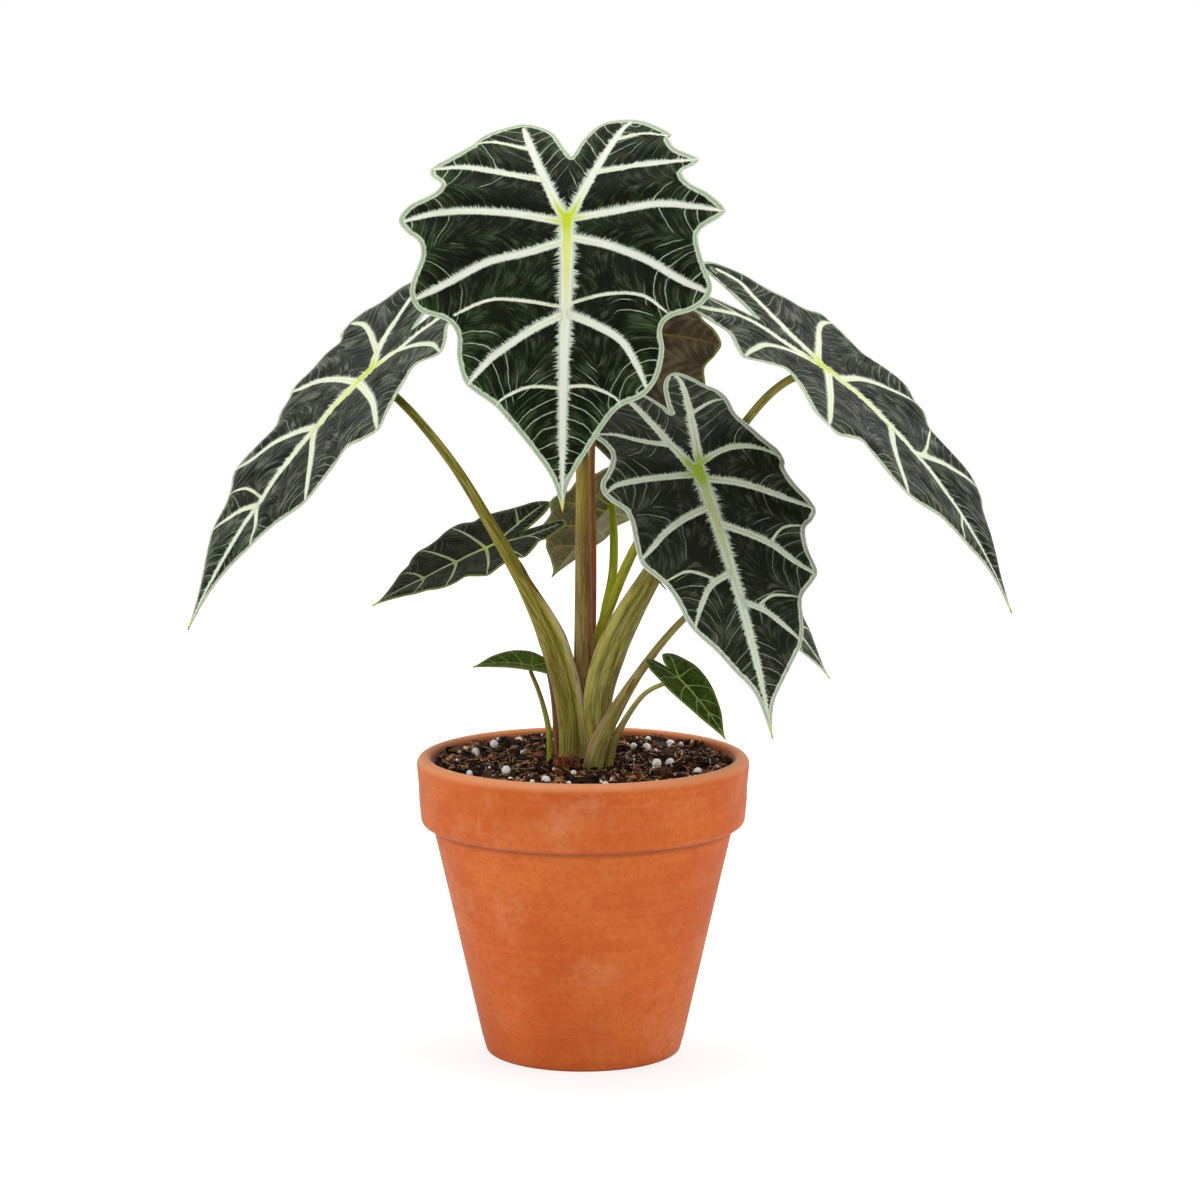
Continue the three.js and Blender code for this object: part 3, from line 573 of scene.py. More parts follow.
# How each blade sits. hub: the join in space. heading: the compass turn of the midrib, 0 is +X and 90 is
# +Y. pitch: its rise at the hub. roll: right edge up. droop and hind: how far the front and the hind
# lobes curl down, and cup: across, all in degrees for each 100 mm. fold: each half's rise from the midrib.
# twist: degrees for each 100 mm along the midrib. size and slim: length and width beside the outline's own.
seats = {
    "A": dict(
        hub=(-6.6, -42, 379.3), heading=-94.7, pitch=-59.5, roll=3.9,
        droop=17.8, hind=49.4, fold=10.6, twist=-3.4),
    "B": dict(
        hub=(-97.8, 55, 304.2), heading=201.5, pitch=-41.6, roll=-2.8, droop=15.4, fold=2.5, twist=-0.3),
    "C": dict(
        hub=(102.7, -45, 315.8), heading=-22.2, pitch=-33.5, roll=2.7, droop=24, fold=0.3, twist=-8.8),
    "D": dict(
        hub=(50.1, -42, 269.9), heading=-49.7, pitch=-59.4, roll=18.9,
        droop=19.4, hind=78.4, fold=4.7, twist=-8.9),
    "E": dict(
        hub=(14.9, 45, 330.1), heading=78, pitch=-60, droop=22, hind=40, cup=-20, fold=4, size=0.88),
    "F": dict(
        hub=(-39.8, 34, 226.9), heading=191.5, pitch=-22.5, roll=-12,
        droop=9, hind=-18, fold=5, twist=10, size=0.63, slim=1.08),
    "G": dict(
        hub=(12.4, 60, 241.8), heading=156, pitch=-46.5, roll=21,
        droop=18, hind=26, fold=13, twist=-13, size=0.46, slim=1.28),
    "J": dict(
        hub=(71.7, 15, 222.1), heading=1, pitch=-50, roll=15,
        droop=11, hind=15, fold=2, size=0.677, slim=0.86),
    "H": dict(
        hub=(-23.4, 10, 174.4), heading=193, pitch=14.5, roll=-15.5,
        droop=108, hind=22, fold=15.5, size=0.27, slim=1.08),
    "I": dict(
        hub=(42.4, -20, 174), heading=-42.5, pitch=-33, roll=7,
        droop=50, hind=38, fold=9.5, twist=-4.5, size=0.37, slim=0.87),
}
for seat in seats.values():
    for key, value in dict(roll=0, hind=0, cup=0, twist=0, size=1, slim=1).items():
        seat.setdefault(key, value)
    angles = Euler([math.radians(seat["roll"]), -math.radians(seat["pitch"]), math.radians(seat["heading"])])
    seat["turn"] = np.array(angles.to_matrix())

# Rows of each stalk: x, y, z, width across, depth. tip: its width under the blade. wing: the side that the
# sheath's thin edge is on, -1 left and 1 right. wing_top: the height where that edge ends.
stalk_paths = {
    "A": dict(tip=4.2, rows=[
        (0.3, 2.2, 118, 6, 5.5), (0.3, 2.2, 130, 9.6, 8), (0.4, 1.5, 160, 9.5, 7.6), (0.4, 0, 181, 9, 7.2),
        (0, -3, 224.5, 6.9, 6.4), (-0.2, -9, 270, 5.9, 5.6), (-2, -20, 324.5, 5.2, 5),
        (-5.2, -33, 365, 4.4, 4.4)]),
    "E": dict(tip=2.6, rows=[
        (3, 15.2, 118, 3.6, 3.6), (3, 15.2, 130, 4.4, 4.2), (3.8, 15.8, 183, 4.2, 4),
        (4.3, 18, 229.5, 3.5, 3.4), (4, 22, 267, 2.8, 2.8), (6.3, 31, 302, 2.6, 2.6),
        (12, 39, 321, 2.6, 2.6)]),
    "D": dict(tip=3.6, rows=[
        (5, 9.6, 118, 4.5, 4.5), (5, 9.6, 130, 6.8, 5.8), (5.2, 8.6, 150, 6.3, 5.2),
        (6.9, 5.6, 187, 5.2, 4.6), (13, 2, 205, 4.5, 4.2), (19.1, -3, 221.2, 4.6, 4.2),
        (27.6, -10, 239, 3.8, 3.8), (39.4, -22, 258, 3.6, 3.6), (46.2, -33, 266, 3.6, 3.6)]),
    "G": dict(tip=3, rows=[
        (-3, 13.2, 118, 3.6, 3.6), (-3, 13.2, 130, 4.8, 4.6), (-0.5, 16, 149, 4.6, 4.6),
        (6.7, 21.5, 181, 4.6, 4.4), (10.8, 27.5, 199, 5, 3.8), (13.4, 36, 212.5, 4.1, 3.6),
        (14, 50, 229.5, 3.7, 3.5)]),
    "B": dict(tip=4, wing=1, wing_top=222, rows=[
        (-5.2, -4.6, 118, 6.5, 5.5), (-5, -4.8, 130, 12, 7.6), (-4.4, -4.8, 143, 13, 8),
        (-6.2, -4.6, 161.5, 12.9, 7.8), (-13.6, -3.2, 188.5, 12.8, 7), (-26.4, -1, 213.8, 7.2, 5.4),
        (-41, 3, 239, 5.4, 4.8), (-57, 11, 264.2, 4.6, 4.5), (-74.3, 24, 284.6, 4, 4),
        (-88, 41, 296.2, 3.9, 3.9)]),
    "C": dict(tip=3.8, wing=-1, wing_top=222, rows=[
        (7, -5, 118, 6, 5.5), (7, -5, 130, 10, 7.6), (6.8, -5.2, 145.5, 11.4, 7.8),
        (6.6, -5.4, 161.5, 13.2, 7.8), (11.9, -6, 182, 14.2, 7), (20.4, -7, 200.5, 12.4, 6.2),
        (29.2, -8, 216, 10, 5.2), (47.6, -11, 248, 4.9, 4.4), (67.2, -17, 281.5, 3.9, 3.9),
        (83, -27, 302, 3.7, 3.7), (94, -37, 310, 3.7, 3.7)]),
    "J": dict(tip=2.6, wing=-1, wing_top=166, rows=[
        (4.2, -13.4, 118, 5.5, 4.5), (4.2, -13.4, 130.5, 9.2, 6.6), (7.4, -13, 143.5, 8.4, 5.8),
        (14.2, -11.6, 157, 6.6, 4.6), (24.4, -8, 173, 4.3, 3.8), (38.8, -2, 191, 3.4, 3.2),
        (54.8, 5, 206, 2.8, 2.8), (66, 11.5, 216, 2.7, 2.7)]),
    "F": dict(tip=2.6, rows=[
        (-11.3, 6, 118, 3.2, 3.2), (-11.3, 6, 130, 4, 3.8), (-12, 10.5, 143, 3.2, 3),
        (-13.6, 16, 160, 2.6, 2.6), (-17.2, 21.5, 178, 2.4, 2.4), (-22, 27, 200, 2.4, 2.4),
        (-30.4, 31.5, 215.5, 2.4, 2.4)]),
    "H": dict(tip=1.8, rows=[
        (-14.8, -2, 120, 2.6, 2.6), (-14.8, -2, 131, 3.4, 3.2), (-15.4, -1, 146.5, 2.7, 2.7),
        (-17.8, 2.6, 157, 2.3, 2.3), (-20.6, 6.5, 165, 2.1, 2.1)]),
    "I": dict(tip=2, rows=[
        (11.2, -11.4, 120, 3.4, 3.2), (11.2, -11.4, 130.5, 4.1, 3.8), (13.8, -11.8, 143, 3.6, 3.4),
        (19.6, -12.6, 155, 2.8, 2.8), (27.6, -15, 166, 2.3, 2.3), (35, -17.4, 170.5, 2.1, 2.1)]),
}
stalk_sides = 32
steps_per_row = 9
turn_steps = 14
sheath_fade = 26


def unit(v):
    """The same direction, one long."""
    return v / np.linalg.norm(v)


def stalk_mesh(name):
    """Rings along the stalk's path. The section is round, and thins out to one side where a sheath's wing is.

    It keeps where each corner lies across the stalk and how far along it, for the stripes to follow."""
    plan = stalk_paths[name]
    seat = seats[name]
    side, up = seat["turn"][:, 1], seat["turn"][:, 2]
    hub = np.array(seat["hub"], float)
    tip = plan["tip"]
    below = 3.2 + tip if name not in "GHI" else 1.6
    rows = [*plan["rows"], (*(hub - up * below), tip, tip), (*(hub - up * 0.35), tip * 1.25, tip * 1.25)]
    rows = np.array(rows, float)
    centres = smooth_line(rows[:, :3], steps_per_row, even=True)
    last = len(centres) - 1
    at = np.arange(last + 1) / steps_per_row
    widths, depths = (np.interp(at, np.arange(len(rows)), rows[:, k]) for k in (3, 4))
    turns = np.linspace(0, 2 * math.pi, stalk_sides, endpoint=False)
    wing = plan.get("wing", 0)
    corners, sections = [], []
    along = 0.0
    for i, centre in enumerate(centres):
        tangent = unit(centres[min(i + 1, last)] - centres[max(i - 1, 0)])
        across = -unit(np.cross(tangent, (0, 1, 0)))
        blend = soft_step(i, last + 1 - turn_steps, last)
        across = unit(across * (1 - blend) + side * blend * (1 if across @ side > 0 else -1))
        inward = unit(np.cross(tangent, across))
        x = np.cos(turns)
        y = np.sin(turns)
        if wing:
            thin = 1 - soft_step(centre[2], plan["wing_top"] - sheath_fade, plan["wing_top"])
            y = y * (1 - 0.8 * thin * soft_step(x * wing, -0.25, 1.0))
        x = x * widths[i] / 2
        y = y * depths[i] / 2
        corners.append(centre + np.outer(x, across) + np.outer(y, inward))
        if i:
            along += np.linalg.norm(centre - centres[i - 1])
        sections.append(np.column_stack([x, y, np.full(stalk_sides, along)]))
    faces = []
    for start in range(0, last * stalk_sides, stalk_sides):
        for j in range(stalk_sides):
            a, b = start + j, start + (j + 1) % stalk_sides
            faces.append((a, b, b + stalk_sides, a + stalk_sides))
    faces.append(tuple(range(stalk_sides - 1, -1, -1)))
    faces.append(tuple(range(last * stalk_sides, (last + 1) * stalk_sides)))
    piece = new_piece(f"leaf_stalk_{name}", corners, faces)
    section = piece.data.attributes.new("section", "FLOAT_VECTOR", "POINT")
    section.data.foreach_set("vector", np.vstack(sections).ravel())
    keep(piece, "lateral", np.tile(np.cos(turns), last + 1))
    return piece


# The marks that every stalk has, drawn out along it.
stripes_group, r, entry, leave = new_group("stalk_stripes", [], ["Stripes", "Streaks", "Specks", "Blotches"])
section = r.add("Attribute", {}, 1, attribute_name="section")
r.join(leave, {
    "Stripes": r.noise(r.vector("MULTIPLY", section, (1, 1, 0.03)), 1.9, 3.0, 0.65),
    "Streaks": r.noise(r.vector("MULTIPLY", section, (1, 1, 0.09)), 0.7, 4.0, 0.6),
    "Specks": r.spread(r.add("TexVoronoi", {"Vector": section, "Scale": 0.5}, 0), 0.2, 0.12),
    "Blotches": r.noise(r.vector("MULTIPLY", section, (1, 1, 0.35)), 0.16, 4.0, 0.6),
})


def stalk_material(name, look):
    """Colours of a stalk and its fine stripes.

    rise: colours up the stalk by height in mm. sides: colours across its front, from -1 left to 1 right,
    up to the height side_top, where they fade into the stalk's own."""
    material, r, shader = new_material(f"stalk {name}", Specular_IOR_Level=0.22, Subsurface_Weight=0.06)
    shader.inputs["Subsurface Radius"].default_value = (0.002, 0.0015, 0.0005)
    shader.inputs["Subsurface Scale"].default_value = 1.0
    place = r.add("TexCoord", {}, 3)
    height = r.add("SeparateXYZ", {0: place}).node.outputs[2]
    stops = look["rise"]
    low, high = stops[0][0], stops[-1][0]
    rise = r.add("MapRange", {0: height, 1: low * mm, 2: high * mm})
    marks = r.group(stripes_group, {})
    color = r.ramp(rise, [((z - low) / (high - low), paint(*c)) for z, c in stops])
    if "sides" in look:
        wobble = r.math("MULTIPLY", r.math("SUBTRACT", marks["Blotches"], 0.5), 0.3)
        lateral = r.math("ADD", r.attribute("lateral"), wobble)
        lateral = r.add("MapRange", {0: lateral, 1: -1.0, 2: 1.0})
        across = r.ramp(lateral, [((x + 1) / 2, paint(*c)) for x, c in look["sides"]])
        top = look["side_top"]
        fade = r.spread(height, (top + 4) * mm, (top - 18) * mm)
        fade = r.math("MULTIPLY", fade, r.spread(height, 126 * mm, 158 * mm, 0.45, 1))
        color = r.mix(fade, color, across)
    color = r.mix(r.spread(marks["Stripes"], 0.48, 0.64, 0, 0.6), color, paint(*look["pale"]))
    color = r.mix(r.spread(marks["Stripes"], 0.48, 0.34, 0, 0.65), color, paint(*look["deep"]))
    color = r.mix(r.spread(marks["Streaks"], 0.52, 0.66, 0, 0.65), color, paint(*look["deep"]))
    color = r.mix(r.spread(marks["Blotches"], 0.55, 0.75, 0, 0.25), color, paint(128, 84, 58))
    color = r.mix(r.math("MULTIPLY", marks["Specks"], look.get("specks", 0)), color, paint(54, 30, 20))
    color = r.add("HueSaturation", {"Saturation": 1.14, "Color": color})
    bump = r.add("Bump", {"Strength": 0.4, "Distance": 0.0003, "Height": marks["Stripes"]})
    gloss = r.spread(marks["Stripes"], 0.3, 0.7, 0.34, 0.5)
    r.join(shader, {"Base Color": color, "Normal": bump, "Roughness": gloss})
    return material


stalk_looks = {
    "A": dict(
        slot="stalk_olive", pale=(168, 150, 100), deep=(98, 80, 36), specks=0.5,
        rise=[(128, (112, 74, 60)), (160, (118, 82, 56)), (195, (134, 102, 56)), (240, (164, 146, 78)),
              (365, (164, 156, 82))],
        side_top=250,
        sides=[(-1, (134, 112, 74)), (-0.6, (146, 132, 84)), (-0.1, (122, 98, 54)), (0.6, (128, 96, 62)),
               (1, (146, 100, 80))]),
    "B": dict(
        slot="stalk_olive", pale=(196, 188, 118), deep=(80, 70, 22), specks=0.4,
        rise=[(128, (146, 116, 92)), (150, (146, 132, 82)), (190, (136, 128, 58)), (240, (132, 124, 56)),
              (300, (150, 146, 72))],
        side_top=216,
        sides=[(-1, (170, 150, 110)), (-0.8, (140, 124, 62)), (-0.25, (108, 100, 38)), (0.05, (168, 162, 86)),
               (0.3, (112, 106, 44)), (0.5, (204, 194, 112)), (0.74, (214, 206, 152)),
               (0.88, (198, 184, 160)), (1, (176, 136, 128))]),
    "C": dict(
        slot="stalk_olive", pale=(196, 190, 120), deep=(80, 74, 24), specks=0.4,
        rise=[(128, (150, 116, 84)), (150, (148, 132, 80)), (190, (138, 130, 62)), (240, (146, 136, 76)),
              (310, (150, 142, 74))],
        side_top=218,
        sides=[(-1, (170, 130, 120)), (-0.86, (190, 178, 112)), (-0.6, (178, 174, 88)), (-0.25, (88, 84, 34)),
               (0, (160, 154, 92)), (0.3, (118, 112, 52)), (0.7, (146, 138, 84)), (1, (168, 148, 112))]),
    "D": dict(
        slot="stalk_green", pale=(196, 194, 100), deep=(112, 112, 34),
        rise=[(128, (132, 116, 60)), (180, (150, 150, 58)), (200, (164, 168, 66)), (230, (146, 146, 60)),
              (265, (152, 154, 70))]),
    "E": dict(
        slot="stalk_red", pale=(198, 134, 104), deep=(118, 56, 44),
        rise=[(128, (112, 62, 52)), (180, (140, 76, 64)), (205, (162, 102, 84)), (226, (168, 104, 72)),
              (232, (136, 98, 60)), (320, (146, 108, 66))]),
    "F": dict(
        slot="stalk_red", pale=(182, 146, 116), deep=(104, 66, 46),
        rise=[(128, (122, 74, 56)), (165, (140, 96, 74)), (215, (156, 122, 92))]),
    "G": dict(
        slot="stalk_green", pale=(196, 204, 96), deep=(116, 124, 30),
        rise=[(128, (142, 136, 62)), (180, (156, 158, 60)), (210, (164, 176, 58)), (235, (156, 166, 60))]),
    "H": dict(
        slot="stalk_olive", pale=(176, 178, 96), deep=(104, 104, 36),
        rise=[(128, (142, 148, 60)), (146, (146, 152, 62)), (158, (134, 120, 66)), (175, (140, 128, 74))]),
    "I": dict(
        slot="stalk_olive", pale=(190, 184, 122), deep=(116, 104, 54),
        rise=[(128, (128, 116, 70)), (145, (142, 130, 76)), (172, (176, 166, 106))]),
    "J": dict(
        slot="stalk_olive", pale=(194, 186, 122), deep=(108, 98, 48),
        rise=[(128, (132, 128, 90)), (150, (134, 126, 70)), (170, (166, 150, 100)), (216, (176, 160, 112))],
        side_top=166,
        sides=[(-1, (176, 134, 116)), (-0.7, (170, 128, 100)), (-0.4, (132, 118, 66)), (0.1, (112, 110, 50)),
               (0.5, (138, 130, 72)), (1, (150, 138, 88))]),
}
for name, look in stalk_looks.items():
    stalk = stalk_mesh(name)
    stalk.data.materials.append(stalk_material(name, look))
    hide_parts(f"stalk_{name}")
    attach(stalk, "root")

# Leaf blades.
# Leathery arrow-shaped blades with scalloped edges, dark above with silvery veins, and paler below.
# Each is a thin sheet that grows from the top of its stalk, puckered between veins that run to the edge.
# Outlines lie flat: along the midrib from the hub, then out to the side, from the notch to the tip.
outlines = {
    "A": {
        "right": [
            (-32, 0), (-44, 5.5), (-51, 13), (-50, 24), (-45, 34), (-36.5, 45), (-33, 44), (-27, 48),
            (-21, 58), (-17.5, 57), (-14, 51.5), (-9, 55), (-3, 64), (4, 71), (8, 69), (12, 61.5),
            (17, 59.5), (27, 62), (38, 66), (44, 63), (48, 57), (50.5, 48), (55, 44), (64, 45),
            (75, 42.5), (83, 36), (87, 26), (93, 20), (103, 13), (115, 5), (123, 1.5), (132, 0)],
        "left": [
            (-32, 0), (-37, 3.5), (-46, 9), (-50, 15.5), (-51, 23), (-47, 31), (-41, 39), (-36.5, 43.5),
            (-32.5, 44.5), (-27, 52), (-21, 60), (-16, 60), (-11.5, 55), (-7, 59), (-1.5, 68), (5, 72.5),
            (11, 69), (16, 63), (22, 62), (32, 65), (39, 66), (46, 62), (50.5, 50), (56, 45.5),
            (66, 45), (76, 42), (80.5, 37), (86, 29), (93.5, 22), (105, 12.5), (116, 5), (126, 1.5),
            (132, 0)],
    },
    "B": {
        "right": [
            (-29, 0), (-40, 5), (-52, 12), (-60, 22), (-58, 33), (-48, 37), (-41, 35), (-34, 38),
            (-27, 48), (-19, 53), (-9, 47), (1, 50), (10, 57), (19, 64), (27, 67), (35, 62), (41, 56),
            (50, 55), (61, 55), (71, 53), (78, 46), (85, 36), (93, 28), (103, 20), (112, 12),
            (123, 5.5), (133, 2), (146, 0)],
        "left": [
            (-29, 0), (-40, 5), (-52, 12), (-61, 22), (-60, 34), (-54, 46), (-47, 50), (-36, 51),
            (-28, 61), (-20, 66), (-12.5, 61), (-8, 54), (0, 53), (11, 54), (21, 55), (29, 52),
            (36, 44), (44, 40), (55, 43), (65, 46), (73, 45), (79, 38), (87, 32.5), (99, 30), (108, 24),
            (120, 14), (132, 6), (146, 0)],
    },
    "C": {
        "right": [
            (-35, 0), (-47, 4), (-61, 8), (-73, 12), (-71, 20), (-60, 30), (-48, 35), (-39, 38),
            (-31, 45), (-25, 54), (-20, 57), (-12, 54), (-5, 49), (3, 50.5), (14, 57), (24, 60.5),
            (33, 58), (41, 50), (48, 45), (59, 48), (69, 54), (78, 56), (87, 51), (93, 42), (103, 34),
            (113, 24), (124, 11), (138, 0)],
        "left": [
            (-35, 0), (-44, 5), (-56, 13), (-63, 21), (-60, 32), (-52, 36), (-41, 35), (-32, 38),
            (-24, 45), (-18, 48), (-12, 44), (-3, 37), (4, 38.5), (13, 48), (23, 60), (32, 64),
            (38, 61), (45, 53), (53, 52), (63, 56), (73, 56), (80, 50), (88, 35), (95, 28), (105, 20),
            (115, 9), (125, 3), (138, 0)],
    },
    "D": {
        "right": [
            (-31, 0), (-36, 0.8), (-48, 5), (-56.5, 11), (-55.5, 15), (-49, 18.5), (-41, 21.5), (-34.5, 25.5),
            (-28, 27), (-20, 27), (-10, 31), (-3.5, 35.5), (1, 38.5), (6, 40), (10, 38), (17.5, 41),
            (25, 45), (31, 46.5), (34.5, 44), (38, 38.5), (46.5, 38), (56.5, 39.5), (60.5, 36.5), (66, 29.5),
            (73.5, 27.5), (81, 26), (87, 23), (92.5, 18), (100, 11), (107, 5), (114, 2), (123, 0)],
        "left": [
            (-31, 0), (-36, 0.8), (-48, 5.5), (-56, 11), (-54, 21), (-46, 30), (-37, 36), (-26, 39),
            (-20.5, 37), (-14, 37), (-8, 41), (-3, 46.5), (1.5, 47.5), (7, 45.5), (12.5, 41.5), (18.5, 40.5),
            (26.5, 42), (36.5, 42.5), (43, 38), (49.5, 33.5), (57.5, 31), (66, 29), (72, 25.5), (80, 19),
            (90, 12.5), (99, 6), (106.5, 3), (123, 0)],
    },
}
# Middle-sized and young leaves are alike on both sides, in hundredths of the length from hub to tip.
middle_side = [
    (-24, 0), (-33, 4), (-43, 9), (-50, 15), (-50, 22), (-42, 28), (-33, 32), (-26, 33),
    (-20, 38), (-10, 45), (-3, 43), (4, 44), (12, 50), (20, 53), (27, 49), (34, 43),
    (42, 43), (50, 43), (57, 38), (62, 31), (70, 26), (78, 17), (87, 8), (93, 3), (100, 0)]
young_side = [
    (-20, 0), (-31, 4), (-41, 11), (-43, 18), (-36, 27), (-22, 34), (-5, 38), (14, 38),
    (32, 34), (50, 27), (66, 20), (80, 11), (91, 4), (100, 0)]
for name in "EFGJ":
    outlines[name] = {"right": middle_side, "left": middle_side}
for name in "HI":
    outlines[name] = {"right": young_side, "left": young_side}


def mirrored(veins):
    """Side veins drawn once for the right half, and again for the left."""
    return veins + [(w0, w1, [(a, -b) for a, b in line]) for w0, w1, line in veins if line[-1][1]]


# Veins: half the width of their pale body where they start and end, in mm on a large leaf, and their
# line, with the right side positive.
middle_veins = mirrored([
    (1.5, 0.5, [(0, 0), (50, 0), (100, 0)]),
    (1.2, 0.5, [(-2, 2), (-15, 9), (-30, 15), (-45, 19)]),
    (0.6, 0.4, [(-22, 12), (-25, 22), (-27, 31)]),
    (0.9, 0.5, [(0, 2), (-3, 15), (-6, 30), (-9, 44)]),
    (1.0, 0.5, [(8, 1), (11, 18), (15, 36), (20, 51)]),
    (0.9, 0.5, [(32, 1), (36, 14), (42, 29), (49, 42)]),
    (0.8, 0.4, [(58, 1), (61, 10), (66, 19), (72, 24)]),
])
young_veins = mirrored([
    (0.9, 0.4, [(0, 0), (50, 0), (100, 0)]),
    (0.6, 0.3, [(-2, 2), (-15, 9), (-28, 16), (-38, 19)]),
    (0.45, 0.25, [(0, 1), (-2, 14), (-4, 26), (-2, 36)]),
    (0.45, 0.25, [(15, 0), (20, 12), (27, 24), (34, 31)]),
    (0.4, 0.22, [(38, 0), (44, 9), (52, 17), (58, 22)]),
    (0.35, 0.2, [(60, 0), (66, 6), (73, 11), (78, 12)]),
])
vein_plans = {
    "A": [
        (2.7, 0.7, [(0, 0), (30, 1), (75, 0.5), (132, 0)]),
        (1.9, 1.1, [(-1, 2), (-4, 3.5), (-18.5, 10), (-32, 16.5), (-43, 22), (-47, 26)]),
        (1.9, 1.1, [(-1, -2), (-6, -5), (-22, -12.5), (-36, -18.5), (-47, -22.5)]),
        (0.7, 0.5, [(-38, 20), (-38, 33), (-35, 45)]),
        (1.0, 0.8, [(-21, 13), (-21, 36), (-20, 57.5)]),
        (1.1, 0.8, [(-18, -12), (-19.5, -28), (-21.5, -44.5), (-20, -59)]),
        (0.7, 0.5, [(-34.5, -19), (-36.5, -34), (-36, -43)]),
        (1.4, 0.9, [(1, 3), (0, 21), (-1, 41), (2, 58), (5, 70)]),
        (1.4, 1.0, [(10, 2), (16, 20), (24.5, 37.5), (33, 50), (40, 63)]),
        (0.55, 0.4, [(41, 1), (38, 20), (40, 35), (48, 46)]),
        (1.4, 0.9, [(45, 1), (51, 14), (59, 26), (70, 33), (79, 37)]),
        (0.5, 0.4, [(77.5, 1), (78, 12), (83, 23), (87, 26)]),
        (1.4, 0.9, [(2.5, -2), (0, -23), (0, -43), (2, -57.5), (6, -70)]),
        (1.4, 1.0, [(12, -1), (18, -16.5), (23.5, -33.5), (33, -49), (41, -63)]),
        (0.55, 0.4, [(42, -1), (40, -21), (41, -33), (48, -46)]),
        (1.4, 0.9, [(46, -1), (52, -12), (60, -23), (67.5, -32), (77, -40)]),
        (0.5, 0.4, [(78, -1), (78, -14), (83, -25), (87, -29)]),
    ],
    "B": [
        (2.6, 0.8, [(0, 0), (70, 0), (146, 0)]),
        (1.9, 1.0, [(-3, -2), (-13, -13), (-28, -22), (-44, -31), (-56, -34)]),
        (1.9, 1.0, [(-3, 2), (-13, 7), (-27, 12), (-42, 20), (-56, 27)]),
        (1.2, 0.8, [(-10, -10), (-18, -34), (-21, -49), (-20, -62)]),
        (1.6, 0.9, [(8, 0), (10.5, -21.5), (15, -36), (21, -46), (25, -54)]),
        (1.5, 0.9, [(36, -1), (43, -15.5), (51, -27), (62, -36), (70, -45)]),
        (0.5, 0.4, [(77, -1), (76, -15), (78, -26), (82, -34)]),
        (1.2, 0.7, [(81, -1), (87.5, -14), (95, -23), (101, -29)]),
        (1.2, 0.8, [(-5, 1), (-13, 6), (-18.5, 20.5), (-22, 38.5), (-20, 52)]),
        (1.6, 0.9, [(8, 1), (11, 18), (15, 36), (21, 52), (27, 66)]),
        (1.5, 0.9, [(38, 1), (46.5, 15), (58, 34), (70, 52)]),
        (1.1, 0.7, [(82, 1), (90, 14), (99, 22)]),
    ],
    "C": [
        (2.4, 0.8, [(0, 0), (70, 0), (138, 0)]),
        (1.8, 1.0, [(-2, 3), (-18.5, 8), (-34, 13.5), (-46, 17.5), (-55, 21), (-66, 17)]),
        (1.8, 1.0, [(-2, -2.5), (-16, -5), (-28.5, -6), (-38, -10), (-44, -17), (-50, -25), (-56, -30)]),
        (0.6, 0.4, [(-37, -9), (-48, -13), (-58, -18)]),
        (1.3, 0.8, [(-2, 3), (-10, 20.5), (-19, 41.5), (-19, 56)]),
        (1.5, 0.9, [(11, 1), (15, 20), (22, 36), (29.5, 48), (35, 56)]),
        (0.5, 0.4, [(59, 1), (58, 14), (54, 27), (49, 42)]),
        (1.4, 0.8, [(58, 1), (62, 14), (67, 27), (74, 42), (81, 53)]),
        (1.3, 0.8, [(-3, -3), (-13, -11), (-18.5, -22), (-19, -36), (-18, -46)]),
        (1.5, 0.9, [(5, -1), (16, -23), (25.5, -45), (32, -62)]),
        (1.4, 0.8, [(42, -1), (55, -25), (66, -41), (74, -54)]),
        (0.5, 0.4, [(91, -1), (96, -14), (101, -21)]),
    ],
    "D": [
        (2.7, 0.7, [(0, 0), (60, 0), (123, 0)]),
        (1.8, 0.9, [(-4, 2), (-16, 5), (-29, 8.5), (-45, 13), (-52, 14)]),
        (0.7, 0.5, [(-27, 8.5), (-29, 18), (-29, 26)]),
        (1.8, 0.9, [(-2, -3), (-16, -8.5), (-32, -12), (-48, -14)]),
        (1.0, 0.6, [(-13.5, -8), (-18.5, -20.5), (-24, -30), (-27, -38)]),
        (1.1, 0.7, [(-2.5, 3), (-5, 12), (-5, 21), (-2, 30), (5, 40)]),
        (1.3, 0.8, [(5.5, 2), (10, 14), (15.5, 24), (22, 34), (30, 46)]),
        (1.3, 0.8, [(27, 2), (34, 13), (41, 22), (49, 29), (58, 38)]),
        (1.1, 0.6, [(62, 1), (68, 10), (75, 16), (84, 23)]),
        (0.45, 0.35, [(40, 21), (35, 28.5), (36, 37.5)]),
        (0.45, 0.35, [(65, 8), (62.5, 15), (64, 22), (66, 28)]),
        (1.2, 0.8, [(2.5, -2), (1, -15.5), (0, -28), (0, -40), (3, -47)]),
        (1.3, 0.8, [(18, -1), (21, -14.5), (25.5, -26), (31, -35), (35, -42)]),
        (1.2, 0.7, [(48.5, -1), (52, -12), (59, -19.5), (66, -25), (70, -27)]),
        (0.45, 0.35, [(50, -9), (46, -16.5), (44, -23), (46, -33)]),
    ],
    "E": middle_veins, "F": middle_veins, "G": middle_veins, "J": middle_veins,
    "H": young_veins, "I": young_veins,
}
# Steps round the edge, rings on the upper face, rings on the lower face.
blade_detail = {
    "A": (540, 80, 40), "B": (520, 76, 34), "C": (520, 76, 34), "D": (500, 72, 34), "E": (360, 40, 48),
    "F": (300, 44, 26), "G": (280, 30, 40), "J": (300, 40, 26), "H": (160, 24, 14), "I": (180, 26, 16),
}
# How far each blade's pads rise between its side veins, in mm.
pad_heights = {
    "A": 0.42, "B": 0.55, "C": 0.55, "D": 0.4, "E": 0.9, "F": 0.6, "G": 0.8, "J": 0.4, "H": 0.3, "I": 0.3}
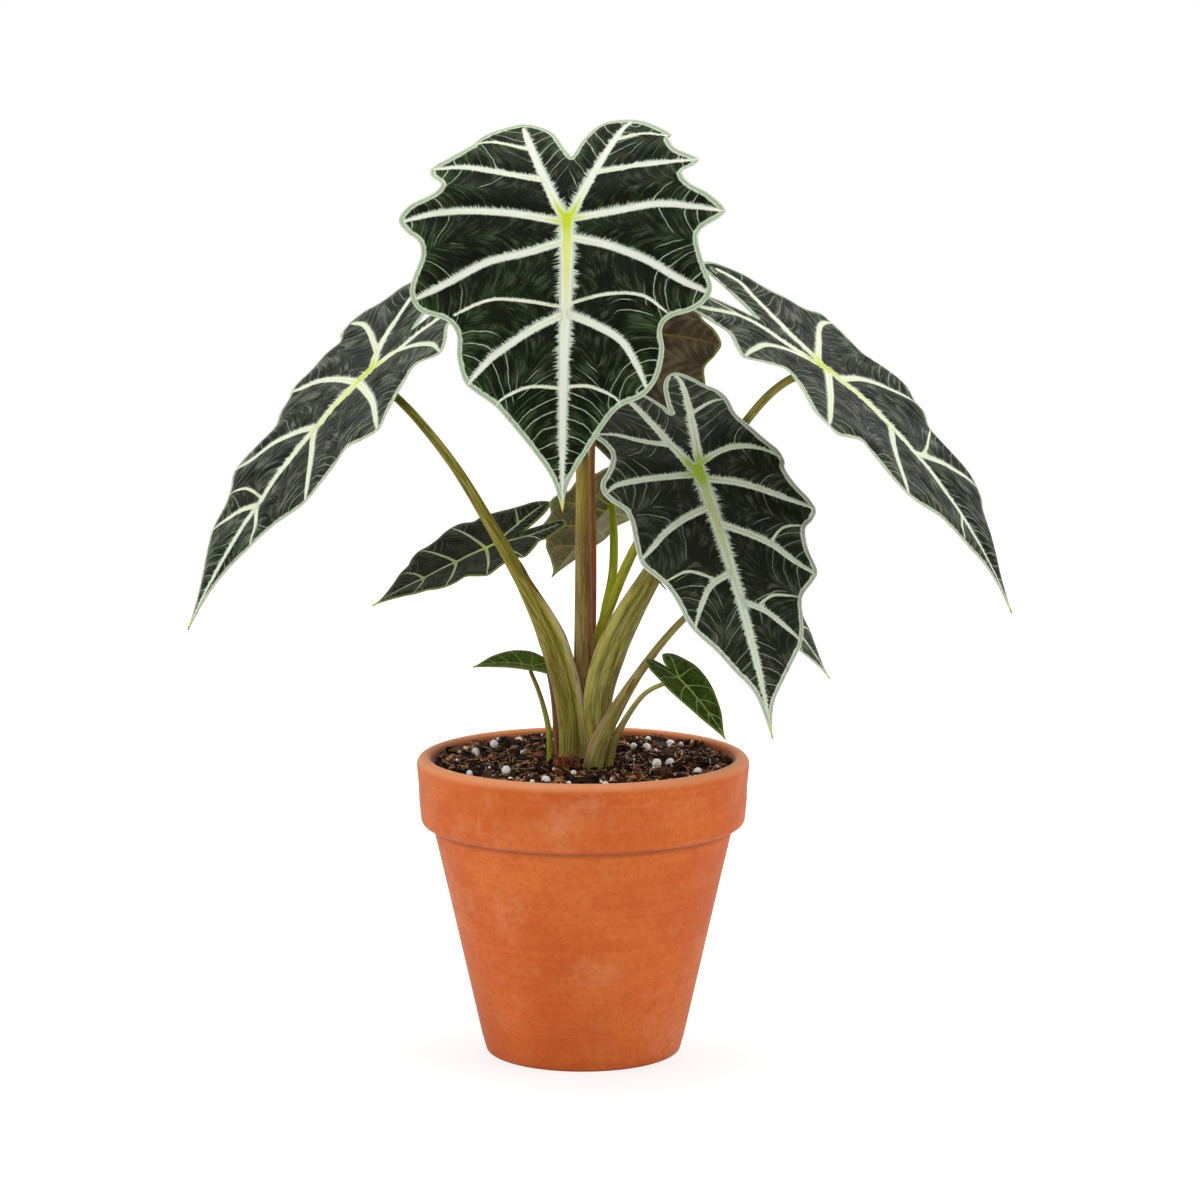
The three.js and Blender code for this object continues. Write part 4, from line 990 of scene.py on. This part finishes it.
# The sheet's own sizes on a large leaf, in mm. The quilt is its swell between the veins, on both faces.
blade_thickness = 0.5
midrib_round = 3.0
wave_height = 1.1
quilt_height = 1.35
quilt_reach = 6.0
lump_height = 0.35
main_vein_width = 0.8
side_vein_spacing = 6.2
# How far a rib stands out of the lower face, for each mm of its vein's half width.
rib_depth = 0.8
# How much closer the rings lie towards the edge, and how finely the outline is followed.
ring_crowding = 1.12
points_per_stretch = 24
nearly_flat = 1e-7
far_off = 1e3


def on_blade(seat, a, b, h):
    """Flat points (a along the midrib, b to the side, h above the sheet's middle) on the curved blade."""
    bend = np.radians(np.where(a >= 0, seat["droop"], seat["hind"])) / 100
    bend = np.where(np.abs(bend) < nearly_flat, nearly_flat, bend)
    turn = bend * a
    twist = np.radians(seat["twist"]) * a / 100
    zero = np.zeros_like(a)
    up = np.column_stack([np.sin(turn), zero, np.cos(turn)])
    side = np.column_stack([zero, np.cos(twist), zero]) + up * np.sin(twist)[:, None]
    normal = up * np.cos(twist)[:, None] - np.column_stack([zero, np.sin(twist), zero])
    cup = math.radians(seat["cup"]) / 100 or nearly_flat
    fold = math.radians(seat["fold"])
    across = np.sin(cup * b) / cup * math.cos(fold)
    rise = -(1 - np.cos(cup * b)) / cup + math.sin(fold) * (np.hypot(b, midrib_round) - midrib_round)
    spine = np.column_stack([np.sin(turn) / bend, zero, -(1 - np.cos(turn)) / bend])
    own = spine + side * across[:, None] + normal * (rise + h)[:, None]
    return own @ seat["turn"].T + np.array(seat["hub"])


def edge_lift(points):
    """The edge dips where the veins end and lifts in the bays between them."""
    reach = [math.hypot(a, b) for a, b in points]
    lifts = [0.0] * len(points)
    for i in range(2, len(points) - 2):
        if reach[i] > reach[i - 1] and reach[i] > reach[i + 1]:
            lifts[i] = -wave_height
        elif reach[i] < reach[i - 1] and reach[i] < reach[i + 1]:
            lifts[i] = wave_height
    return lifts


def evenly(line, count):
    """The same line with points spaced evenly by length, both ends included."""
    steps = np.linalg.norm(np.diff(line[:, :2], axis=0), axis=1)
    at = np.concatenate([[0], np.cumsum(steps)])
    wanted = np.linspace(0, at[-1], count)
    return np.column_stack([np.interp(wanted, at, line[:, k]) for k in range(line.shape[1])])


def blade_edge(name, count):
    """Points (along, side, lift) round the blade: from the notch by the right side to the tip and back."""
    seat = seats[name]
    halves = []
    for half, sign in (("right", 1), ("left", -1)):
        points = outlines[name][half]
        rows = [(a * seat["size"], sign * b * seat["size"] * seat["slim"], lift * seat["size"])
                for (a, b), lift in zip(points, edge_lift(points))]
        halves.append(evenly(smooth_line(rows, points_per_stretch), count // 2 + 1))
    return np.vstack([halves[0], halves[1][-2:0:-1]])


def nearest_on(line, points):
    """Distance from each point to a line, which side it is on, and how far along the line it lies."""
    start = line[:-1]
    step = line[1:] - line[:-1]
    lengths = np.linalg.norm(step, axis=1)
    at = np.concatenate([[0], np.cumsum(lengths)])
    away = np.empty(len(points))
    side = np.empty(len(points))
    along = np.empty(len(points))
    for first in range(0, len(points), 4000):
        some = points[first:first + 4000]
        rel = some[:, None, :] - start[None]
        share = np.clip((rel * step).sum(2) / np.maximum(lengths ** 2, 1e-12), 0, 1)
        gap = rel - share[..., None] * step
        square = (gap ** 2).sum(2)
        pick = square.argmin(1)
        row = np.arange(len(some))
        away[first:first + 4000] = np.sqrt(square[row, pick])
        cross = step[pick, 0] * rel[row, pick, 1] - step[pick, 1] * rel[row, pick, 0]
        side[first:first + 4000] = np.where(cross >= 0, 1, -1)
        along[first:first + 4000] = at[pick] + share[row, pick] * lengths[pick]
    return away, side, along, at[-1]


def blade_facts(name, flat, margin):
    """What the relief and the colours need to know at each flat point of a blade."""
    seat = seats[name]
    size = seat["size"]
    stretch = np.array([size, size * seat["slim"]])
    scale = max(size, 0.5)
    count = len(flat)
    facts = {key: np.zeros(count) for key in ("across", "along", "width", "fuzz", "index")}
    facts["away"] = np.full(count, far_off)
    facts["quilt"] = np.ones(count)
    main_along, main_side, main_index = np.zeros(count), np.zeros(count), np.zeros(count)
    main_away, second = np.full(count, far_off), np.full(count, far_off)
    for index, (w0, w1, line) in enumerate(vein_plans[name]):
        away, side, along, total = nearest_on(smooth_line(np.array(line) * stretch, 10), flat)
        width = (w0 + (w1 - w0) * along / total) * scale
        depth = 0.92 * np.clip(width / (0.9 * scale), 0.35, 1)
        facts["quilt"] *= 1 - depth * np.exp(-(away / (quilt_reach * scale)) ** 2)
        near = away - width < facts["away"] - facts["width"]
        # The silvery fuzz is wide on the side of a vein that looks back to the hub, and narrow on the other.
        fuzz = np.where(side * flat[:, 1] >= 0, 1.0, 0.4) * width
        values = dict(away=away, across=away * side, along=along, width=width, fuzz=fuzz, index=index)
        for key, value in values.items():
            facts[key] = np.where(near, value, facts[key])
        # Side veins grow from the wider veins only, but from all of them on the young leaves.
        if name in "HI" or w0 >= main_vein_width:
            nearer = away < main_away
            second = np.where(nearer, main_away, np.minimum(second, away))
            main_away = np.where(nearer, away, main_away)
            main_along = np.where(nearer, along, main_along)
            main_side = np.where(nearer, side, main_side)
            main_index = np.where(nearer, index, main_index)
    # Side veins leave the main ones nearly square and bend to run out beside them to the edge.
    half_gap = (main_away + np.minimum(second, 60)) / 2
    share = np.clip(main_away / np.maximum(half_gap, 1e-6), 0, 1)
    field = main_along - 0.75 * half_gap * share ** 2
    stagger = np.where(main_side > 0, 0.45, 0) * side_vein_spacing
    field = field + stagger + 0.8 * np.sin(main_along * 0.23 + main_index)
    facts["phase"] = field / (side_vein_spacing * scale)
    facts["between"] = second - main_away
    facts["main"] = main_away
    # Each side vein has its own length and strength, from a number that looks random and never changes.
    chance = np.sin(np.floor(facts["phase"]) * 12.9898 + main_index * 78.233) * 43758.5453
    chance = chance - np.floor(chance)
    reach = (9 + 15 * chance) * scale
    length = outlines[name]["right"][-1][0] * size
    shown = 1 - soft_step(margin, reach - 3 * scale, reach + 3 * scale)
    shown = np.maximum(shown, soft_step(flat[:, 0] / length, 0.5, 0.62))
    strength = np.where(chance > 0.3, 0.45 + 0.55 * chance, 0.15)
    facts["shown"] = shown * soft_step(facts["between"], 0.3, 2.5) * strength
    return facts


def blade_layer(name, edge, rings, sign):
    """Corners of the upper face (sign 1) or the lower one (sign -1), in rings from the hub to the edge."""
    seat = seats[name]
    size = seat["size"]
    outline = np.vstack([edge[:, :2], edge[:1, :2]])
    share = np.linspace(0, 1, rings + 1)[1:]
    share = 1 - (1 - share) ** ring_crowding
    a = np.concatenate([[0.0], np.outer(share, edge[:, 0]).ravel()])
    b = np.concatenate([[0.0], np.outer(share, edge[:, 1]).ravel()])
    lift = np.concatenate([[0.0], np.outer(share ** 3, edge[:, 2]).ravel()])
    flat = np.column_stack([a, b])
    margin = nearest_on(outline, flat)[0]
    facts = blade_facts(name, flat, margin)
    inside = soft_step(margin, 0, 7 * size)
    lumps = np.array([noise.noise((x * 0.07, y * 0.07, 5.0)) for x, y in flat])
    pads = np.abs(np.cos(math.pi * facts["phase"])) ** 0.8 - 0.6
    pads = pads * soft_step(facts["main"], 1.5, 6) * soft_step(facts["between"], 0.3, 5) * inside
    pads = pads * (1 + 1.2 * lumps)
    rise = quilt_height * size ** 0.7 * facts["quilt"] * inside + pad_heights[name] * size ** 0.5 * pads
    rise = rise + lump_height * size * lumps * inside
    if sign > 0:
        ridge = np.exp(-(facts["away"] / (facts["width"] + 0.2)) ** 2)
        h = blade_thickness / 2 + rise + 0.22 * ridge * np.minimum(facts["width"], 1)
    else:
        ribs = np.exp(-(facts["away"] / (0.8 * facts["width"] + 0.2)) ** 2)
        h = -blade_thickness / 2 + rise - rib_depth * facts["width"] * ribs * soft_step(margin, 0, 5)
    return on_blade(seat, a, b, h + lift), flat, facts, margin


def band(first, second, count):
    """The faces between two rings of corners, whose first corners have these numbers."""
    ring = np.arange(count)
    following = (ring + 1) % count
    return np.column_stack([first + ring, first + following, second + following, second + ring])


def layer_faces(start, count, rings, sign):
    """The faces of one layer: a fan round the hub, then a band from ring to ring."""
    ring = np.arange(count)
    fan = np.column_stack([np.full(count, start), start + 1 + (ring + 1) % count, start + 1 + ring])
    firsts = [start + 1 + i * count for i in range(rings - 1)]
    quads = np.vstack([band(first, first + count, count) for first in firsts])
    if sign < 0:
        fan = fan[:, ::-1]
        quads = quads[:, ::-1]
    return fan.tolist() + quads.tolist()


def blade_mesh(name):
    """The sheet with its rim: an upper face, a rounded edge and a lower face with raised ribs."""
    around, top_rings, low_rings = blade_detail[name]
    edge = blade_edge(name, around)
    count = len(edge)
    top, top_flat, top_facts, top_margin = blade_layer(name, edge, top_rings, 1)
    low, low_flat, low_facts, low_margin = blade_layer(name, edge, low_rings, -1)
    rim_flat = edge[:, :2] * (1 + 0.15 / np.maximum(np.hypot(edge[:, 0], edge[:, 1]), 1))[:, None]
    rim = on_blade(seats[name], rim_flat[:, 0], rim_flat[:, 1], edge[:, 2])
    rim_start = len(top)
    low_start = rim_start + count
    faces = layer_faces(0, count, top_rings, 1)
    upper = len(faces)
    faces += layer_faces(low_start, count, low_rings, -1)
    faces += band(rim_start - count, rim_start, count).tolist()
    faces += band(rim_start, low_start + len(low) - count, count).tolist()
    piece = new_piece(f"leaf_blade_{name}", [top, rim, low], faces)
    # The rim takes what it knows about the veins from the upper face's edge.
    for key in ("across", "away", "along", "width", "fuzz", "index", "phase", "shown", "main"):
        values = [top_facts[key], top_facts[key][-count:], low_facts[key]]
        keep(piece, f"vein_{key}", np.concatenate(values))
    keep(piece, "edge_distance", np.concatenate([top_margin, np.zeros(count), low_margin]))
    mesh = piece.data
    flat = np.vstack([top_flat, rim_flat, low_flat])
    uv = (flat / 200 + 0.5)[np.array([loop.vertex_index for loop in mesh.loops])]
    mesh.uv_layers.new(name="flat").data.foreach_set("uv", uv.astype(np.float32).ravel())
    index = np.ones(len(faces), dtype=np.int32)
    index[:upper] = 0
    index[-2 * count:] = 0
    mesh.polygons.foreach_set("material_index", index)
    return piece


# One group turns what a blade knows about its veins into masks, for the upper and the lower faces alike.
vein_group, r, entry, leave = new_group(
    "leaf_veins",
    [("Side vein spacing", side_vein_spacing), ("Side vein width", 0.3), ("Margin width", 2.8), ("Fuzz", 1.0),
     ("Tip", 130.0)],
    ["Body", "Fuzz", "Centre", "Fresh", "Side vein", "Margin", "Margin line", "Wrinkle", "Grain", "Hub",
     "Tip", "Pad"],
)
across = r.math("ABSOLUTE", r.attribute("vein_across"))
away = r.attribute("vein_away")
away = r.math("MAXIMUM", across, r.math("SUBTRACT", away, 0.45))
along = r.attribute("vein_along")
edge = r.attribute("edge_distance")
width = r.math("MULTIPLY", r.attribute("vein_width"), r.spread(edge, 1.0, 11.0, 0.35, 0.95))
sheet = r.vector("SUBTRACT", r.add("UVMap", {}, uv_map="flat"), (0.5, 0.5, 0.0))
sheet = r.vector("MULTIPLY", sheet, (200.0, 200.0, 0.0))
split = r.add("SeparateXYZ", {0: sheet}).node.outputs
seed = r.math("MULTIPLY", r.attribute("vein_index"), 17.3)
seed = r.math("ADD", seed, r.math("MULTIPLY", r.math("SIGN", r.attribute("vein_across")), 5.0))
# Hairs of the fuzz: streaks that leave the vein and lean forward.
lean = r.math("SUBTRACT", along, r.math("MULTIPLY", away, 0.35))
hairs = r.noise(r.combine(lean, r.math("MULTIPLY", away, 0.2), seed), 2.3, 3.0, 0.65)
long_hairs = r.noise(r.combine(lean, seed, 0.0), 1.5, 2.0, 0.6)
beyond = r.math("SUBTRACT", away, width)
uneven = r.math("MULTIPLY", r.math("SUBTRACT", hairs, 0.5), 0.8)
body = r.spread(r.math("ADD", beyond, uneven), 0.16, -0.14)
reach = r.math("MULTIPLY", r.attribute("vein_fuzz"), entry["Fuzz"])
reach = r.math("MULTIPLY", reach, r.math("ADD", 0.45, r.spread(long_hairs, 0.35, 0.7, 0, 1.35)))
reach = r.math("ADD", reach, 0.12)
fade = r.math("SUBTRACT", 1.0, r.math("DIVIDE", beyond, reach), clamp=True)
broken = r.math("ADD", fade, r.math("MULTIPLY", r.math("SUBTRACT", hairs, 0.5), 1.5))
fuzz = r.math("MULTIPLY", r.spread(broken, 0.15, 0.75), r.spread(fade, 0.0, 0.25))
half_centre = r.spread(width, 1.4, 2.5, 0.22, 1.9)
half_centre = r.math("MINIMUM", half_centre, r.math("MULTIPLY", width, 0.75))
centre = r.spread(r.math("SUBTRACT", away, half_centre), 0.25, -0.2)
phase = r.math("ADD", r.attribute("vein_phase"), r.math("MULTIPLY", r.noise(sheet, 0.11, 2.0, 0.5), 0.5))
line = r.math("ABSOLUTE", r.math("SUBTRACT", r.math("FRACT", phase), 0.5))
line = r.math("MULTIPLY", line, entry["Side vein spacing"])
thick = r.math("MULTIPLY", r.noise(sheet, 0.6, 2.0, 0.6), entry["Side vein width"])
side_vein = r.spread(r.math("SUBTRACT", line, thick), 0.22, -0.1)
side_vein = r.math("MULTIPLY", side_vein, r.attribute("vein_shown"))
across_pad = r.math("MULTIPLY", phase, 2.2)
along_pad = r.math("MULTIPLY", r.attribute("vein_main"), 0.13)
strands = r.noise(r.combine(across_pad, along_pad, 0.0), 1.0, 4.0, 0.6)
patches = r.noise(sheet, 0.09, 2.0, 0.5)
midrib = r.spread(r.attribute("vein_index"), 0.6, 0.4)
uneven = r.math("MULTIPLY", r.math("SUBTRACT", r.noise(sheet, 0.4, 3.0, 0.6), 0.5), 1.6)
edge_here = r.math("ADD", edge, uneven)
beside = r.math("SUBTRACT", edge_here, entry["Margin width"])
fresh_midrib = r.math("MULTIPLY", midrib, r.spread(along, 62.0, 8.0))
r.join(leave, {
    "Body": body,
    "Fuzz": fuzz,
    "Centre": centre,
    "Fresh": r.math("MAXIMUM", r.spread(along, 24.0, 3.0), fresh_midrib),
    "Side vein": side_vein,
    "Margin": r.spread(beside, 0.3, -0.3),
    "Margin line": r.math("MULTIPLY", r.spread(edge, 0.55, 0.85), r.spread(edge, 1.45, 1.1)),
    "Wrinkle": r.math("MULTIPLY", strands, r.spread(patches, 0.3, 0.6, 0.75, 1.0)),
    "Grain": r.noise(sheet, 1.7, 3.0, 0.7),
    "Hub": r.spread(r.vector("LENGTH", sheet, output=1), 11.0, 2.5),
    "Tip": r.math("SUBTRACT", entry["Tip"], split[0]),
    "Pad": r.math("DIVIDE", line, r.math("MULTIPLY", entry["Side vein spacing"], 0.5)),
})


def painted(look):
    """The colours of a look, ready for the shader."""
    return {key: paint(*value) for key, value in look.items() if isinstance(value, tuple)}


def upper_material(name, look):
    """The glossy upper face: dark blade with a painted sheen, painted glints and painted shade on its relief,
    silvery veins with a brighter centre, pale margin and its line.
    """
    size = seats[name]["size"]
    scale = max(size, 0.5)
    material, r, shader = new_material(
        f"upper face {name}", Specular_IOR_Level=look["gloss"], Specular_Tint=(0.92, 1.0, 0.74, 1.0))
    masks = r.group(vein_group, {
        "Side vein spacing": side_vein_spacing * scale, "Side vein width": look["side_width"],
        "Margin width": look["margin"], "Fuzz": look["fuzz"], "Tip": outlines[name]["right"][-1][0] * size,
    })
    tint = painted(look)
    place = r.add("TexCoord", {}, 3)
    edge = r.attribute("edge_distance")
    cloud = r.noise(place, 55.0, 4.0, 0.6)
    patches = r.noise(place, 38.0, 4.0, 0.6)
    color = r.mix(r.spread(edge, 18.0, 3.0, 0.1, 0.85), tint["dark"], tint["green"])
    color = r.mix(r.spread(patches, 0.46, 0.62, 0, 0.55), color, tint["green"])
    color = r.mix(r.spread(cloud, 0.46, 0.62, 0, 0.75), color, tint["dark"])
    # A painted sheen lies on the crests of the pads and the wrinkles.
    crest = r.spread(masks["Pad"], 0.1, 0.7, 0.5, 1.0)
    crest = r.math("MULTIPLY", crest, r.spread(masks["Wrinkle"], 0.47, 0.6))
    color = r.mix(r.math("MULTIPLY", crest, look["bloom_and_painted_sheen"]), color, tint["grey"])
    # Painted highlights on the high points of the fine grain, and painted shade on its low points.
    color = r.mix(r.spread(masks["Grain"], 0.54, 0.68, 0, look["bloom_and_painted_sheen"] * 0.6), color, tint["grey"])
    color = r.mix(r.spread(masks["Grain"], 0.46, 0.34, 0, 0.6), color, tint["dark"])
    # Painted shade in the valleys of the wrinkles.
    color = r.mix(r.spread(masks["Wrinkle"], 0.47, 0.38, 0, 0.85), color, tint["dark"])
    glints = r.spread(r.noise(place, 430.0, 3.0, 0.6), 0.6, 0.7, 0, look["bloom_and_painted_sheen"] * 0.45)
    color = r.mix(r.math("MULTIPLY", glints, r.spread(patches, 0.4, 0.55)), color, tint["grey"])
    color = r.mix(r.math("MULTIPLY", masks["Side vein"], look["side"]), color, tint["side_color"])
    color = r.mix(masks["Fuzz"], color, tint["fuzz_color"])
    streaks = r.spread(masks["Grain"], 0.35, 0.7)
    color = r.mix(masks["Margin"], color, r.mix(streaks, tint["edge"], tint["edge_light"]))
    color = r.mix(r.math("MULTIPLY", masks["Margin line"], 0.5), color, tint["edge_dark"])
    color = r.mix(masks["Body"], color, tint["vein"])
    core = r.mix(masks["Fresh"], tint["core"], tint["fresh"])
    core = r.mix(masks["Hub"], core, tint["hub"])
    color = r.mix(r.math("MULTIPLY", masks["Centre"], look["core_strength"]), color, core)
    hub = r.math("MULTIPLY", masks["Hub"], masks["Body"])
    color = r.mix(r.math("MULTIPLY", hub, look["hub_strength"]), color, tint["hub"])
    color = r.mix(r.spread(masks["Tip"], 8.0 * scale, 3.0 * scale, 0, 0.85), color, tint["tip"])
    color = r.mix(r.spread(masks["Tip"], 2.6 * scale, 1.0 * scale, 0, 0.85), color, paint(166, 112, 60))
    relief = r.math("MULTIPLY", masks["Wrinkle"], look["wrinkle"])
    relief = r.math("ADD", relief, r.math("MULTIPLY", masks["Grain"], 0.9))
    relief = r.math("SUBTRACT", relief, r.math("MULTIPLY", masks["Side vein"], 0.4))
    relief = r.math("ADD", relief, r.math("MULTIPLY", masks["Fuzz"], 0.3))
    bump = r.add("Bump", {"Strength": 0.8, "Distance": 0.0008, "Height": relief})
    rough = r.spread(cloud, 0.35, 0.65, look["rough"], look["rough"] + 0.12)
    rough = r.math("ADD", rough, r.math("MULTIPLY", masks["Body"], 0.15))
    r.join(shader, {"Base Color": color, "Normal": bump, "Roughness": rough})
    return material


def under_material(name, look):
    """The lower face: paler and duller, with raised veins and a thin green edge, and painted light and shade
    on its pads and wrinkles.
    """
    size = seats[name]["size"]
    material, r, shader = new_material(f"lower face {name}", Specular_IOR_Level=0.2)
    masks = r.group(vein_group, {
        "Side vein spacing": side_vein_spacing * max(size, 0.5), "Side vein width": 0.3,
        "Margin width": 1.0, "Fuzz": 0.1, "Tip": outlines[name]["right"][-1][0] * size,
    })
    tint = painted(look)
    cloud = r.noise(r.add("TexCoord", {}, 3), 80.0, 4.0, 0.6)
    # Painted light on the crests of the pads and painted shade between them, broken up by random tone.
    crest = r.math("MULTIPLY_ADD", masks["Pad"], 0.45, 0.3)
    crest = r.math("ADD", crest, r.math("MULTIPLY", r.math("SUBTRACT", cloud, 0.5), 2.4))
    color = r.mix(r.spread(crest, 0.2, 1.0), tint["under_dark"], tint["under_light"])
    # Painted light on the ridges of the wrinkles and painted shade in their valleys.
    color = r.mix(r.spread(masks["Wrinkle"], 0.42, 0.62, 0, 0.3), color, tint["under_light"])
    color = r.mix(r.spread(masks["Wrinkle"], 0.47, 0.3, 0, 0.35), color, tint["under_dark"])
    color = r.mix(r.math("MULTIPLY", masks["Side vein"], 0.35), color, tint["under_vein"])
    color = r.mix(masks["Body"], color, tint["under_vein"])
    color = r.mix(masks["Margin"], color, tint["under_edge"])
    color = r.mix(r.spread(masks["Tip"], 7.0, 3.0, 0, 0.7), color, tint["tip"])
    relief = r.math("ADD", masks["Wrinkle"], r.math("MULTIPLY", masks["Grain"], 0.4))
    bump = r.add("Bump", {"Strength": 0.6, "Distance": 0.0007, "Height": relief})
    r.join(shader, {"Base Color": color, "Normal": bump, "Roughness": r.spread(cloud, 0.3, 0.7, 0.45, 0.58)})
    return material


# A large leaf seen from above, with its underside. Narrow is how one seen nearly edge-on looks, with a
# stronger and lighter painted sheen.
dark_look = dict(
    dark=(4, 8, 1), green=(28, 54, 10), grey=(96, 104, 80), bloom_and_painted_sheen=0.42, vein=(248, 252, 240),
    core=(252, 253, 224), core_strength=0.95, fresh=(238, 246, 122), hub=(212, 230, 30), hub_strength=0.6,
    fuzz_color=(216, 230, 208), fuzz=1.35, side_color=(208, 224, 196), side=0.85, side_width=0.36,
    edge=(186, 206, 170), edge_light=(222, 234, 208), edge_dark=(104, 128, 82), margin=2.2,
    tip=(237, 231, 109), gloss=0.08, rough=0.25, wrinkle=1.5,
    under_dark=(64, 53, 32), under_light=(118, 104, 80), under_vein=(120, 104, 40), under_edge=(140, 148, 70),
)
narrow_look = dict(
    dark_look, dark=(7, 10, 3), green=(32, 54, 14), grey=(138, 139, 124), bloom_and_painted_sheen=0.66, vein=(242, 247, 224),
    core=(240, 245, 178), fresh=(230, 240, 104), fuzz=1.25, side=0.6, side_width=0.3, margin=1.8, gloss=0.15,
    rough=0.3, wrinkle=1.8)
leaf_looks = {
    "A": dark_look,
    "B": narrow_look,
    "C": dict(narrow_look, bloom_and_painted_sheen=0.6),
    "D": dict(narrow_look, dark=(26, 30, 20), green=(40, 50, 28), grey=(104, 105, 93), bloom_and_painted_sheen=0.6,
              vein=(246, 255, 234), core=(228, 236, 180), core_strength=0.75, fresh=(212, 228, 122),
              hub=(182, 212, 16), hub_strength=0.85, fuzz_color=(220, 238, 210), margin=2.2, wrinkle=2.0,
              fuzz=1.1, edge=(204, 220, 192), edge_light=(232, 242, 222)),
    "E": dark_look,
    "F": dict(narrow_look, dark=(12, 15, 1), green=(38, 46, 8), grey=(84, 84, 46), bloom_and_painted_sheen=0.4, gloss=0.06,
              vein=(190, 202, 140), core=(214, 224, 178), fresh=(170, 194, 84), side=0.25, fuzz=0.4,
              edge=(128, 138, 54), edge_light=(146, 156, 74), margin=0.9),
    "G": dict(dark_look, under_dark=(82, 82, 40), under_light=(142, 128, 82), under_vein=(150, 160, 60),
              tip=(120, 152, 32)),
    "J": dict(narrow_look, margin=1.1, side=0.3),
    "H": dict(dark_look, dark=(62, 90, 0), green=(98, 130, 10), grey=(104, 124, 52), vein=(150, 172, 56),
              core=(172, 190, 70), fresh=(172, 190, 56), hub=(176, 198, 50), fuzz=0.3, side=0.1, margin=0.5,
              edge=(134, 150, 48), edge_light=(148, 162, 62), tip=(160, 174, 50), hub_strength=0.4),
    "I": dict(dark_look, dark=(38, 62, 2), green=(66, 94, 10), grey=(96, 118, 50), vein=(120, 150, 44),
              core=(142, 170, 56), fresh=(160, 186, 56), hub=(180, 202, 60), fuzz=0.3, side=0.1, margin=0.5,
              edge=(128, 148, 50), edge_light=(142, 160, 62), tip=(170, 182, 60), hub_strength=0.4),
}
for name, look in leaf_looks.items():
    blade = blade_mesh(name)
    blade.data.materials.append(upper_material(name, look))
    blade.data.materials.append(under_material(name, look))
    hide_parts(f"blade_{name}")
    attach(blade, "root")

# Studio.
# A pale floor that runs out white, soft lights overhead, in front, behind and at each side, and the camera,
# which stands where the ellipses of the pot's rim and foot look as they do in the photograph.
bpy.ops.object.select_all(action="DESELECT")
bpy.ops.mesh.primitive_plane_add(size=12, location=(0, 0, 0))
floor = bpy.context.object
floor.name = "studio_floor"
floor_material, r, floor_shader = new_material("pale floor", Roughness=0.9, Specular_IOR_Level=0.0)
seen = r.add("LightPath", {}, 0)
out = r.vector("LENGTH", r.add("TexCoord", {}, 3), output=1)
glow = r.math("MULTIPLY", seen, r.spread(out, 0.05, 0.3, 0.74, 1.0))
color = r.mix(seen, (0.86, 0.86, 0.86, 1), (0.36, 0.355, 0.35, 1))
r.join(floor_shader, {"Base Color": color, "Emission Color": (1, 1, 1, 1), "Emission Strength": glow})
floor.data.materials.append(floor_material)

world = bpy.data.worlds.new("studio air")
bpy.context.scene.world = world
world.use_nodes = True
r = Recipe(world.node_tree)
background = world.node_tree.nodes["Background"]
seen = r.add("LightPath", {}, 0)
r.join(background, {"Color": r.mix(seen, (0.13, 0.13, 0.13, 1), (1, 1, 1, 1)), "Strength": 1.0})


def softbox(name, where, target, width, depth, radiance):
    """A rectangular light of an even brightness, pointed at its target and unseen by the camera."""
    data = bpy.data.lights.new(name, "AREA")
    data.shape = "RECTANGLE"
    data.size, data.size_y = width, depth
    data.energy = radiance * math.pi * width * depth
    light = bpy.data.objects.new(name, data)
    light.location = where
    light.rotation_euler = (Vector(target) - Vector(where)).to_track_quat("-Z", "Y").to_euler()
    light.visible_camera = False
    bpy.context.collection.objects.link(light)


softbox("overhead", (0, 0.35, 1.6), (0, 0.05, 0.2), 1.8, 1.5, 3.05)
softbox("left_side", (-1.5, -0.5, 0.7), (0, 0, 0.2), 1.1, 1.1, 2.85)
softbox("right_side", (1.5, -0.5, 0.8), (0, 0, 0.2), 1.1, 1.1, 3.1)
softbox("front", (0, -2.1, 0.95), (0, 0, 0.25), 1.5, 0.7, 2.8)
softbox("back_wall", (0, 1.6, 0.7), (0, 0, 0.25), 3.0, 1.4, 0.6)

camera_data = bpy.data.cameras.new("camera")
camera_data.lens = 120.434
camera_data.sensor_width = 36
camera = bpy.data.objects.new("camera", camera_data)
camera.location = (0.007633, -1.78128, 0.46498)
camera.rotation_euler = (math.radians(81.730), 0, 0)
bpy.context.collection.objects.link(camera)
scene = bpy.context.scene
scene.camera = camera
scene.view_settings.view_transform = "Standard"
